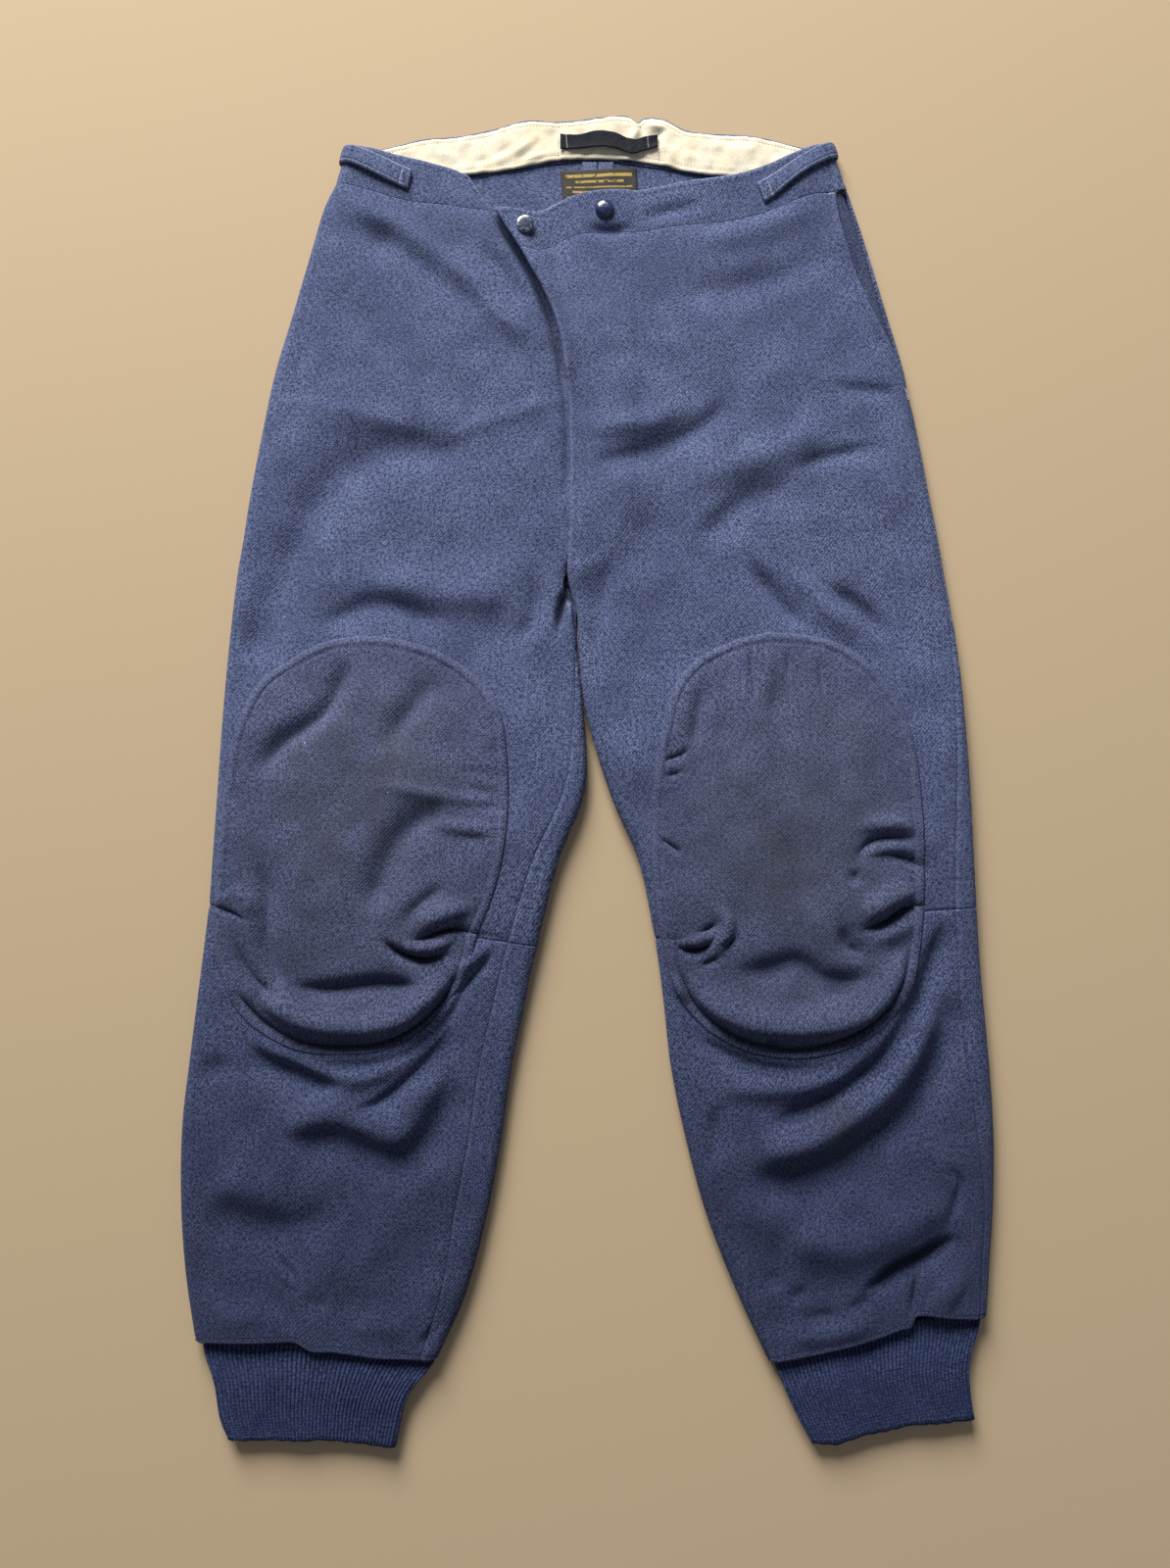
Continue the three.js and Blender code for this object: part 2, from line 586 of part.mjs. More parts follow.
function addFacing() {
  const ends = [LEGS.right, LEGS.left].map((leg) => rowAt(leg, -BAND_TALL));
  const seams = [LEGS.right, LEGS.left].map((leg) => rowAt(leg, 0));
  const between = (rows) => (x) => {
    const row = x < CENTRE_BACK ? rows[0] : rows[1];
    return THREE.MathUtils.mapLinear(x, row.outer.x, row.back.x, row.outer.y, row.back.y);
  };
  const upper = (x) => between(ends)(x) - 1.5;
  const lower = (x) => between(seams)(x) + 0.5;
  const grid = flatGrid(evenly(-183, 186, 12), [upper, (x) => (upper(x) + lower(x)) / 2, lower],
    () => BAND + LAYER + COTTON / 2);
  const half = COTTON / 2;
  addPiece('waist_facing', wallGeometry(grid, -half, half, everyHalf(false)), FACING_COTTON);
}

function addLoop() {
  const { from, to, tall, arch } = LOOP;
  const base = BAND + LAYER + COTTON + LAYER + TAPE / 2;
  const middle = (x) => THREE.MathUtils.mapLinear(x, from[0], to[0], from[1], to[1]);
  const rise = (x) => arch * Math.sin((Math.PI * (x - from[0])) / (to[0] - from[0])) ** 2;
  const rows = [(x) => middle(x) + tall / 2, (x) => middle(x) - tall / 2];
  const grid = flatGrid(evenly(from[0], to[0], 12), rows, (x) => base + rise(x));
  const half = TAPE / 2;
  addPiece('hanger_loop', wallGeometry(grid, -half, half, everyHalf(false)), LOOP_TAPE);
}

function addLabel() {
  const { low, high } = LABEL;
  const label = new THREE.BoxGeometry(high[0] - low[0], high[1] - low[1], TAPE);
  const z = CLOTH + LAYER + TAPE / 2;
  label.translate((low[0] + high[0]) / 2, (low[1] + high[1]) / 2, z);
  addPiece('label', label, WOVEN_LABEL);
}

// Cuffs

function cuffPoint(rows, part, round, count) {
  const at = (pick) => lineAt(rows.map((row, i) => [i, pick(row)]), part);
  const outer = [at((row) => row.outer[0]), at((row) => row.outer[1])];
  const inner = [at((row) => row.inner[0]), at((row) => row.inner[1])];
  const level = at((row) => row.level);
  const rest = at((row) => row.lift) + KNIT / 2;
  const wide = Math.hypot(outer[0] - inner[0], outer[1] - inner[1]);
  const onTop = round <= count.top;
  const across = onTop ? count.ways[round] : 1 - (round - count.top) / count.under;
  const edge = rolled((Math.min(across, 1 - across) * wide) / CUFF_ROLL);
  const middle = (level + rest) / 2;
  const high = onTop ? level : rest;
  return new THREE.Vector3(
    THREE.MathUtils.lerp(outer[0], inner[0], across),
    THREE.MathUtils.lerp(outer[1], inner[1], across),
    middle + (high - middle) * edge,
  );
}

function addCuff(leg) {
  const rows = CUFFS[leg.name];
  const steps = 2 * CUFF_RIBS;
  const ways = evenly(0, 1, steps);
  const count = { top: steps, under: 12, ways };
  const round = steps + count.under;
  const grid = [0, 1, 2].map((part) => {
    const points = evenly(0, round, round).map((j) => cuffPoint(rows, part, j, count));
    points[round] = points[0].clone();
    return points.map((point, j) => {
      const before = points[j === 0 ? round - 1 : j - 1];
      const after = points[j === round ? 1 : j + 1];
      const across = after.clone().sub(before);
      const normal = new THREE.Vector3(0, -1, 0).cross(across);
      return { point, normal: normal.multiplyScalar(leg.side).normalize() };
    });
  });
  const ribbed = (i, j) => (j > 2 && j < steps - 2 && j % 2 === 1 ? RIB_HIGH : 0);
  const half = KNIT / 2;
  const geometry = wallGeometry(grid, -half, half, everyHalf(leg.side < 0), ribbed, true);
  addPiece(`cuff_${leg.name}`, geometry, RIB_KNIT);
}

// Snaps

// Highest place of the flap under a snap
function snapSeat({ middle, radius }) {
  let highest = 0;
  for (let down = -BAND_TALL; down <= 0; down += 2) {
    for (let round = 150; round < 290; round += 2) {
      const point = legPoint(LEGS.left, down, round);
      const far = Math.hypot(point.x - middle[0], point.y - middle[1]);
      if (far < radius + 2) highest = Math.max(highest, point.z);
    }
  }
  return highest + CLOTH / 2 + LAYER;
}

function addSnap(name, snap, profile, look) {
  const outline = profile.map(([r, z]) => new THREE.Vector2(r * snap.radius, z * snap.high));
  const geometry = new THREE.LatheGeometry(outline, 24);
  geometry.rotateX(Math.PI / 2);
  geometry.translate(snap.middle[0], snap.middle[1], snapSeat(snap));
  addPiece(name, geometry, look);
}

const DOME = [[0, 0], [0.9, 0], [1, 0.12], [0.97, 0.4], [0.8, 0.72], [0.5, 0.93], [0, 1]];
const DISHED = [[0, 0], [0.9, 0], [1, 0.3], [0.94, 0.8], [0.84, 1], [0.7, 0.85], [0.55, 0.5],
  [0, 0.4]];

for (const leg of Object.values(LEGS)) {
  addLeg(leg);
  addPocketBearer(leg);
  addWaistband(leg);
  addWaistTab(leg);
  addCuff(leg);
}
addFacing();
addLoop();
addLabel();
addSnap('snap_cap', SNAP_CAP, DOME, NAVY_ENAMEL);
addSnap('snap_ring', SNAP_RING, DISHED, WORN_METAL);

group.position.set(-MIDDLE.x, -MIDDLE.y, 0);

export default group;
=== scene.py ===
import math
import bpy
import numpy as np
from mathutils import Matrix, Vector
from mathutils.bvhtree import BVHTree


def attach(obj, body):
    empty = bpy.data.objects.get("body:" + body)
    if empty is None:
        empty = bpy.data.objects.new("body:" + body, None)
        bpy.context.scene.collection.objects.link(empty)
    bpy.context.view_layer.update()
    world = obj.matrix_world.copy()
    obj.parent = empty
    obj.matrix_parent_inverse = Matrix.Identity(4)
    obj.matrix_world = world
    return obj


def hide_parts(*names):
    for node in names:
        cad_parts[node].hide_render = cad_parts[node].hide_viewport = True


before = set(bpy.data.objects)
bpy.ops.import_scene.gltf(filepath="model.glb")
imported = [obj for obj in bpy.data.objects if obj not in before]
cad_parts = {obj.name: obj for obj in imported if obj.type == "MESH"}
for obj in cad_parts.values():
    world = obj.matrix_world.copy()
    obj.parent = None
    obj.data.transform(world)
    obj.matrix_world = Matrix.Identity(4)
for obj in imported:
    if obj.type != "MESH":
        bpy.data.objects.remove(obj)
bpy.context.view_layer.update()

# Flying trousers laid on their back. Places and sizes in the tables are millimetres, in the
# same places as the CAD tables; inMetres moves them to the middle of the frame.
# The wearer's right leg lies at -X. "down" runs from the waist seam to the cuff, and "round"
# runs over the top from the outer edge to the inner edge and back along the underside.

tableMiddle = (0.4, 2.0)

cloth = {
    "wool": 1.6,  # thickness of the twill
    "band": 2.4,  # waistband, two layers with an interlining
    "tab": 2.6,
    "cotton": 0.7,
    "tape": 0.9,
    "knit": 2.2,
    "gridStep": {"Upper": 2.7, "Lower": 2.1},  # size of the cells of the visible panels
    "edgeStep": 1.2,  # and near their seams and edges
    "edgeReach": 14,
    "hiddenStep": 9,
}

leg = {
    "bandTall": 36,
    "crotch": 372,
    "knee": 565,
    "hem": 865,
    "roll": 9,  # half-round fold along the edges, on top
    "rollUnder": 6,
    "lowest": 4.5,
    "lap": 4.0,  # rise of the fly flap over the cloth below it
    "lapReach": 42,
    "pocketEnd": 165,
}

# down, outer x y, front x y, back x y, level, sag
rightRows = [
    (-36, -197, 499, -98, 474, 9, 529, 11, 3),
    (0, -206, 468, -77, 443, 9, 492, 11, -4),
    (22, -215, 446, -61, 427, 9, 467, 11, -2),
    (55, -224, 412, -38, 402, 9, 430, 11, 0),
    (105, -238, 358, -2, 352, 9, 370, 11.5, 0),
    (160, -252, 305, 22, 300, 9, 310, 12, 0),
    (215, -262, 250, 30, 248, 9, 255, 12, 0),
    (265, -270, 200, 28, 196, 8, 202, 12, 0),
    (295, -274, 168, 10, 163, 5, 168, 12, 0),
    (320, -278, 140, -17, 138, -1, 143, 12, 0),
    (350, -281, 108, -11.3, 110, -8.4, 112, 12, 0),
    (372, -283, 84, -8.8, 88, -8.8, 88, 12, 0),
    (400, -285, 52, -5.8, 56, -5.8, 56, 13, 0),
    (435, -287, 12, -2, 20, -2, 20, 14, 0),
    (480, -289, -35, -2, -32, -2, -32, 14, 0),
    (525, -291, -80, -23, -88, -23, -88, 14, 0),
    (565, -293, -121, -39, -153, -39, -153, 14, 2),
    (605, -298, -172, -48, -194, -48, -194, 13, 0),
    (655, -304, -232, -59, -250, -59, -250, 13, 0),
    (710, -309, -290, -67, -305, -67, -305, 13, 0),
    (765, -308, -348, -77, -358, -77, -358, 13, 0),
    (815, -303, -398, -91, -410, -91, -410, 13, 0),
    (865, -294, -447, -113, -460, -113, -460, 14, 0),
]
leftRows = [
    (-36, 200, 502, -75, 443, 9, 529, 11, -9),
    (0, 213, 462, -54, 410, 9, 492, 11, -6),
    (55, 228, 412, -34, 370, 9, 430, 11, 0),
    (105, 242, 360, -22, 338, 9, 370, 11.5, 0),
    (160, 256, 307, -15, 290, 9, 310, 12, 0),
    (215, 266, 253, -13, 243, 9, 255, 12, 0),
    (265, 274, 205, -13, 198, 8, 202, 12, 0),
    (295, 280, 170, -14, 165, 5, 168, 12, 0),
    (320, 284, 142, -15, 138, 1, 143, 12, 0),
    (350, 289, 110, -8.6, 110, -5.6, 112, 12, 0),
    (372, 292, 85, -7.2, 88, -7.2, 88, 12, 0),
    (400, 295, 55, -4.2, 56, -4.2, 56, 13, 0),
    (435, 298, 12, 2, 20, 2, 20, 14, 0),
    (480, 300, -35, 20, -38, 20, -38, 14, 0),
    (525, 301, -80, 41, -88, 41, -88, 14, 0),
    (565, 302, -123, 53, -147, 53, -147, 14, 2),
    (605, 304, -172, 59, -190, 59, -190, 13, 0),
    (655, 308, -235, 65, -245, 65, -245, 13, 0),
    (710, 310, -296, 77, -303, 77, -303, 13, 0),
    (765, 308, -346, 92, -357, 92, -357, 13, 0),
    (815, 304, -388, 113, -410, 113, -410, 13, 0),
    (865, 300, -428, 137, -462, 137, -462, 14, 2),
]

# Seams of the legs: down, then the way in from the edge over the top (minus: on the underside).
rightSeams = {
    "outseam": [(-36, -8), (865, -8)],
    "pocketBack": [(0, -18), (133, -18), (160, -8.3)],
    "inseam": [(372, 0), (400, 3), (480, 16), (565, 22), (655, 24), (765, 24), (865, 12)],
}
leftSeams = {
    "outseam": [(-36, 7), (0, 10), (30, 15), (70, 15), (105, 11), (135, 5), (160, 1), (265, 2),
                (350, 2), (480, 12), (565, 18), (655, 18), (710, 13), (765, 7), (865, 5)],
    "pocketBack": [(0, 0.4), (160, 0.7)],
    "inseam": [(372, 0), (395, -8), (865, -8)],
}

# Waves of the edges: x, then how far the edge lies above its straight line.
edgeWaves = {
    "rightWaist": [(-200, 0), (-185, 1), (-150, -1), (-120, 0), (-98, 0)],
    "leftWaist": [(-75, 0), (-55, -2), (-38, -4.8), (-21, 2), (-7, 6), (21, 5.6), (42, 1.8),
                  (76, 0.5), (114, -3.8), (148, -2.5), (183, 2), (200, 0)],
    "backWaist": [(-198, 0), (-178, -2), (-158, -1), (-136, 1.7), (-104, 0), (-77, 2), (-49, 5.7),
                  (-25, 1), (7, 0), (35, 4.7), (41, -1.2), (47, 4.5), (64, 5.8), (81, -0.8),
                  (98, -1.4), (139, 1.6), (184, -3), (200, 0)],
    "rightHem": [(-294, 0), (-258, 2.6), (-228, 5.2), (-218, 5.0), (-206, 0), (-188, 1),
                 (-159, -1.5), (-135, -0.6), (-113, 0)],
    "leftHem": [(137, 0), (177, -2.2), (216, -1), (236, 2), (243, 2.5), (246.5, 9.6), (275, 3),
                (296, -1), (300, 0)],
}

# Folds: the points that one runs through, its half widths on the lit and the shaded side, and
# its height (minus: a trough).
rightFolds = [
    (((-195, 449), (-148, 420), (-96, 379), (-47, 329)),
     (10, 9), 2.2),  # drag line from the side to the fly
    (((-182, 432), (-131, 402), (-78, 352)), (9, 14), -2),  # below it
    (((-89, 418), (-67, 389), (-47, 356)), (6, 8), -1.8),  # below the corner
    (((-77, 438), (-62, 415), (-48, 393), (-37.5, 370), (-29, 345), (-22.5, 318), (-18.5, 292)),
     (3.4, 3.2), -3.6),  # beside the flap
    (((-24, 330), (-19.5, 300), (-17, 270), (-16, 240), (-16, 200)),
     (3, 2.6), -1.9),  # beside the flap, lower
    (((-270, 280), (-215, 279), (-127, 255)), (4, 6), 0.5),  # hip crease
    (((-127, 246), (-31, 280), (-16, 276)), (7, 6), 0.7),  # hip crease 2
    (((-89, 235), (-152, 243), (-198, 220), (-226, 175), (-240, 144), (-253, 105), (-271, 69)),
     (16, 20), -3),  # thigh hollow
    (((-235, 268), (-172, 266), (-101, 256)), (18, 12), 1.4),  # thigh ridge
    (((-212, 97), (-183, 112), (-162, 117), (-135, 108), (-106, 100)),
     (8, 12), -2.4),  # over the patch
    (((-170, 136), (-115, 124), (-53, 119)), (20, 12), 2.5),  # over the patch, ridge
    (((-42, 139), (-43, 103), (-59, 85)), (7, 7), -2),  # beside the crotch
    (((-16, 152), (-14, 130), (-20, 117), (-24, 89)), (3, 4), -6),  # crotch hollow
    (((-18, 86), (-5, 84)), (1.6, 2.4), -1.6),  # crotch crease 1
    (((-19, 75), (-5, 70)), (1.6, 2.4), -1.5),  # crotch crease 2
    (((-257, -21), (-237, 6), (-206, 28), (-186, 70)), (9, 8), -3.2),  # patch trough 1
    (((-155, -4), (-142, 25), (-114, 59)), (10, 9), -2.4),  # patch trough 2
    (((-99, -17), (-67, -19)), (3.4, 4), -0.45),  # short 1
    (((-96, -30), (-67, -36)), (3.4, 4), -0.5),  # short 2
    (((-83, -43), (-66, -46)), (3.4, 4), -0.5),  # short 3
    (((-164, -27), (-117, -36), (-70, -41)), (4, 5), 0.9),  # long crease
    (((-170, -130), (-158, -97), (-141, -64), (-106, -42)), (12, 13), -4),  # patch diagonal
    (((-95, -65), (-78, -73)), (4, 5), -0.5),  # patch small
    (((-121, -59), (-72, -65)), (5, 4), 1.3),  # patch small ridge
    (((-142, -140), (-133, -124), (-108, -105)), (6, 7), -2.2),  # patch soft
    (((-132, -141), (-117, -132), (-90, -122)), (8, 5), 3.6),  # dart ridge
    (((-132, -149), (-116, -142), (-102, -139), (-90, -142)), (2.6, 3.4), -8),  # dart hollow
    (((-143, -153), (-120, -154), (-103, -146)), (3.5, 3), 3.2),  # dart curl
    (((-156, -149), (-144, -157), (-127, -162), (-109, -159)), (3, 4.5), -9),  # dart hollow 2
    (((-225, -185), (-195, -184), (-157, -180), (-125, -186)), (5, 9), -4.6),  # long trough
    (((-250, -188), (-221, -208), (-182, -215), (-140, -208), (-107, -178)),
     (13, 6), 6.2),  # bulge
    (((-256, -87), (-248, -115), (-246, -149), (-232, -190)), (6, 7), -3),  # left hollow
    (((-272, -150), (-255, -178), (-232, -196)), (4, 6), -2.6),  # left hollow 2
    (((-290, -121), (-275, -126), (-264, -132)), (1.5, 2.2), -3),  # outer dart
    (((-275, -107), (-263, -117), (-258, -132)), (4, 4), 1.2),  # outer dart curl
    (((-291, -115), (-273, -117)), (5, 5), 0.8),  # outer dart puff
    (((-260, -229), (-245, -239), (-223, -246), (-203, -256), (-184, -261)),
     (5, 11), -4),  # under the patch
    (((-252, -224), (-224, -240), (-194, -248), (-164, -251)),
     (6, 6), 1.8),  # under the patch, ridge
    (((-298, -245), (-268, -245)), (8, 9), -1.2),  # lower left soft
    (((-178, -278), (-159, -270), (-138, -254), (-119, -234), (-100, -212)),
     (3.5, 9), -2.8),  # sharp valley
    (((-193, -261), (-155, -246), (-122, -224)), (9, 7), 2),  # band over it
    (((-97, -172), (-75, -151)), (3, 3), 1.8),  # pucker 1
    (((-101, -192), (-73, -159)), (2.5, 3), -2.2),  # pucker 2
    (((-234, -289), (-193, -283), (-167, -289), (-150, -297), (-135, -290), (-123, -270),
      (-111, -246)),
     (22, 11), 3.8),  # pouf
    (((-226, -306), (-211, -298), (-191, -295), (-172, -305), (-152, -311), (-135, -308),
      (-121, -290), (-111, -270), (-102, -251)),
     (10, 20), -3),  # under the pouf
    (((-285, -321), (-259, -334), (-221, -341)), (26, 18), 2.6),  # shin ridge
    (((-292, -347), (-262, -356), (-233, -364), (-201, -362), (-186, -367)),
     (14, 24), -2.4),  # shin hollow
    (((-234, -385), (-218, -403)), (2, 2.4), -1.3),  # shin crease
    (((-237, -390), (-222, -407)), (2.4, 2), 1),  # shin crease ridge
    (((-241, -404), (-232, -418), (-219, -434), (-217, -445)), (6, 6), -1.2),  # shin to hem
    (((-214, -418), (-192, -420)), (6, 7), -0.7),  # over the hem
    (((-126, -450), (-113, -438), (-98, -424)), (4, 5), -2.6),  # hem corner
    (((-282, -429), (-234, -429)), (10, 8), 0.9),  # hem puff left
    (((-190, -434), (-131, -437)), (10, 8), 1.2),  # hem puff right
    (((-177, -347), (-167, -386)), (7, 9), -1),  # shin side
    (((-268, -190), (-248, -211), (-221, -225), (-191, -229), (-156, -226), (-131, -213),
      (-111, -193), (-98, -172)),
     (3.6, 3), -5),  # along the low rim of the patch
    (((-208, -240), (-191, -243), (-156, -240), (-128, -227), (-104, -203), (-92, -180)),
     (3, 5), -1.7),  # outside the rim
    (((-104, -140), (-88, -142.5), (-62, -146)),
     (1.3, 1.3), -0.8),  # knee seam, across the patch edge
    (((-292, -120), (-278, -124), (-268, -128)), (1.3, 1.3), -0.8),  # knee seam, outer side
]
leftFolds = [
    (((-1, 428), (18, 426), (37, 429)), (4, 7), -2),  # below the cap
    (((41, 435), (69, 443), (95, 447)), (6, 7), -1.5),  # band hollow
    (((-34, 435), (-26, 404), (-15, 370)), (5, 6), -1.4),  # fly corner
    (((-62, 424), (-46, 398), (-32, 369), (-22, 338), (-17, 312), (-14, 286)),
     (5, 9), 2.6),  # flap edge
    (((80, 416), (128, 423), (184, 442)), (10, 12), 1.5),  # below the band
    (((72, 370), (128, 379), (199, 402)), (12, 14), -1.6),  # hip soft
    (((4, 229), (32, 235), (70, 249), (98, 265), (114, 285)), (8, 13), -2.4),  # hip valley
    (((1, 256), (48, 263), (83, 279)), (13, 9), 2.2),  # hip ridge
    (((90, 163), (114, 189), (138, 205), (169, 211)), (11, 17), -2.6),  # thigh valley
    (((164, 225), (192, 236), (235, 245)), (5, 8), -1.6),  # thigh soft
    (((79, 216), (126, 229), (189, 256)), (16, 12), 2),  # thigh ridge
    (((128, 152), (152, 120), (175, 93)), (5, 7), -3.2),  # to the patch
    (((190, 130), (204, 122), (223, 107), (238, 84)), (6, 9), -3.8),  # to the patch 2
    (((161, 143), (189, 111), (211, 87)), (9, 7), 2.2),  # between them
    (((16, 155), (13, 97)), (6, 6), -1.2),  # crotch soft
    (((-9, 160), (-4, 128), (1, 89)), (7, 6), 1.6),  # crotch edge
    (((256, 289), (237, 290), (197, 295)), (5, 7), -1.4),  # outseam dent
    (((202, 455), (207, 425), (215, 390), (229, 355), (246, 322), (256, 304)),
     (4, 3), 1.2),  # mouth of the pocket
    (((128, 80), (130, 58), (133, 34)), (3.5, 3.5), -1.4),  # patch top 1
    (((157, 78), (159, 55)), (3, 3.5), -1.3),  # patch top 2
    (((181, 76), (186, 42)), (3, 3.5), -1.3),  # patch top 3
    (((144, 80), (145, 58)), (3, 3), 0.8),  # patch top 4
    (((92, 58), (86, 20), (81, -6)), (7, 8), -2.6),  # patch left hollow
    (((59, -10), (80, -1)), (2.4, 3), -1.8),  # patch left 1
    (((60, -21), (74, -18)), (2.4, 3), -1.4),  # patch left 2
    (((55, -68), (75, -82)), (2.4, 3), -1.8),  # patch left 3
    (((147, 58), (152, -5), (162, -52), (172, -112), (184, -129)), (11, 13), -2.4),  # patch long
    (((100, 62), (106, 20), (112, -30), (122, -78)), (12, 12), -1.6),  # patch long 2
    (((188, 60), (196, 10), (200, -40)), (10, 12), -1.4),  # patch long 3
    (((207, -88), (217, -74), (233, -68), (256, -70)), (3, 5), -2.6),  # patch arc 1
    (((232, -80), (249, -85), (260, -94)), (2.5, 4), -2.2),  # patch arc 2
    (((213, -82), (232, -77), (254, -79)), (3, 3), 2),  # patch arc ridge
    (((208, -62), (233, -59), (256, -62)), (6, 4), 2),  # patch arc top
    (((206, -93), (208, -107)), (5, 5), -2),  # patch arc tail
    (((214, -139), (232, -133), (244, -124), (256, -121)), (2.6, 4.4), -9),  # dart hollow
    (((212, -132), (231, -120), (252, -109)), (10, 4.5), 4.6),  # dart ridge
    (((196, -136), (201, -153), (214, -159)), (6, 6), -3),  # dart under
    (((220, -150), (239, -139), (255, -133)), (5, 8), 2.5),  # dart lower puff
    (((72, -154), (84, -155), (97, -151)), (2.4, 3.6), -8),  # inner dart hollow
    (((69, -150), (87, -148), (100, -141)), (3, 2.5), 2.2),  # inner dart ridge
    (((88, -143), (100, -135)), (2.4, 3), -2.6),  # curl 1
    (((103, -154), (115, -145)), (2.4, 3.5), -2.8),  # curl 2
    (((87, -168), (102, -160)), (2.4, 3.5), -2.4),  # curl 3
    (((93, -160), (105, -147), (108, -133), (98, -122)), (4, 4), 3),  # curl ridge
    (((114, -174), (137, -170), (163, -165), (184, -178), (220, -180)), (8, 13), -4),  # trough
    (((180, -189), (205, -192)), (4, 6), -1.8),  # trough 2
    (((86, -188), (112, -209), (151, -216), (198, -211), (235, -189), (250, -158)),
     (14, 6), 6.2),  # bulge
    (((135, -221), (147, -225)), (2.5, 3), -2.5),  # pinch
    (((58, -167), (70, -184), (80, -196)), (3, 3), 1.8),  # pucker left 1
    (((61, -180), (76, -200), (92, -217)), (3, 4), -2.2),  # pucker left 2
    (((91, -223), (128, -243), (173, -248), (210, -237)), (5, 8), -1),  # under the patch
    (((98, -259), (150, -261), (192, -249), (229, -224), (256, -186)),
     (12, 8), 2.5),  # shin ridge 1
    (((144, -288), (166, -275), (186, -265), (203, -254), (224, -236), (242, -212), (260, -178),
      (277, -133)),
     (6, 12), -4.4),  # shin valley 1
    (((127, -309), (161, -302), (196, -285), (229, -259), (252, -229), (265, -193)),
     (13, 12), 5),  # shin ridge 2
    (((122, -330), (155, -327), (190, -319), (219, -296), (244, -273), (262, -245), (272, -215),
      (279, -186)),
     (10, 18), -3.6),  # shin valley 2
    (((85, -321), (96, -307), (99, -281), (110, -273)), (6, 7), -1.6),  # shin left
    (((194, -363), (212, -347)), (7, 8), -1),  # shin soft
    (((148, -370), (200, -377), (252, -354), (273, -336)), (22, 17), 3.6),  # shin ridge 3
    (((97, -339), (126, -354), (163, -361)), (14, 14), 1.4),  # shin ridge 3 left
    (((210, -410), (233, -393), (250, -385), (266, -376), (278, -373)), (4, 8), -7),  # deep fold
    (((249, -394), (246, -411), (243, -428)), (2.5, 2.5), -2),  # tuck
    (((271, -362), (280, -341), (282, -328), (272, -319)), (3.5, 4.5), -1.8),  # curl by the seam
    (((162, -431), (189, -426)), (5, 6), -1.2),  # low 1
    (((152, -417), (167, -407)), (4, 5), -1),  # low 2
    (((138, -394), (142, -410)), (7, 7), -1),  # low 3
    (((193, -424), (218, -414)), (4, 6), -1.1),  # low 4
    (((147, -444), (184, -441), (221, -430)), (8, 6), 1.6),  # hem puff
    (((262, -404), (280, -415)), (14, 14), 2),  # right of the tuck
    (((100, -361), (111, -383)), (9, 9), -1),  # lower left soft
    (((70, -172), (82, -196), (101, -213), (124, -225), (151, -231), (179, -229), (205, -219),
      (226, -203), (240, -183), (248, -158)),
     (3.6, 3), -5),  # along the low rim of the patch
    (((74, -207), (94, -227), (120, -239), (150, -245), (182, -243)),
     (3, 6), -1.5),  # outside the rim
    (((263, -121), (250, -121.5), (241, -124)),
     (1.3, 1.3), -0.8),  # knee seam, across the patch edge
    (((50, -147), (75, -147.5), (97, -146.5)), (1.3, 1.3), -0.8),  # knee seam, inner side
]


print("tables ready")


# Curves and heights


def smoothStep(x, low, high):
    t = np.clip((x - low) / (high - low), 0, 1)
    return t * t * (3 - 2 * t)


def bell(x, wide, middle=0):
    return np.exp(-(((x - middle) / wide) ** 2))


def rolled(part):
    t = np.clip(part, 0, 1)
    return np.sqrt(1 - (1 - t) ** 2)


def curveThrough(xs, ys, x):
    xs, ys = np.asarray(xs, float), np.asarray(ys, float)
    i = np.clip(np.searchsorted(xs, x, side="left") - 1, 0, len(xs) - 2)
    before, after = np.maximum(i - 1, 0), np.minimum(i + 2, len(xs) - 1)
    span = xs[i + 1] - xs[i]
    t = np.clip((x - xs[i]) / span, 0, 1)
    slopeA = (ys[i + 1] - ys[before]) / (xs[i + 1] - xs[before])
    slopeB = (ys[after] - ys[i]) / (xs[after] - xs[i])
    bend = t * t * (3 - 2 * t)
    return (ys[i] + (ys[i + 1] - ys[i]) * bend + t * (1 - t) ** 2 * span * slopeA
            - t * t * (1 - t) * span * slopeB)


def waveAt(name, x):
    xs, ys = zip(*edgeWaves[name])
    return curveThrough(xs, ys, x)


def smoothLine(points, cuts=4):
    points = np.asarray(points, float)
    if len(points) == 2:
        return points
    run = np.r_[0, np.cumsum(np.hypot(*np.diff(points, axis=0).T))]
    at = np.concatenate([np.linspace(a, b, cuts, endpoint=False) for a, b in zip(run, run[1:])])
    at = np.r_[at, run[-1]]
    return np.stack([curveThrough(run, points[:, 0], at), curveThrough(run, points[:, 1], at)], 1)


def nearestOn(line, x, y):
    # how far each place lies from the line, the way there along x and y, how far along the
    # line that is, and how long the line is
    far = np.full(x.shape, 1e9)
    outX, outY, along = np.zeros_like(x), np.zeros_like(x), np.zeros_like(x)
    run = 0
    for (ax, ay), (bx, by) in zip(line[:-1], line[1:]):
        dx, dy = bx - ax, by - ay
        long = math.hypot(dx, dy)
        t = np.clip(((x - ax) * dx + (y - ay) * dy) / long ** 2, 0, 1)
        ox, oy = x - ax - t * dx, y - ay - t * dy
        d = np.hypot(ox, oy)
        closer = d < far
        far = np.where(closer, d, far)
        outX, outY = np.where(closer, ox, outX), np.where(closer, oy, outY)
        along = np.where(closer, run + t * long, along)
        run += long
    return far, outX, outY, along, run


litSide = (-0.35, 0.94)
foldGain = 2.0  # how much stronger the folds are than the heights in the tables


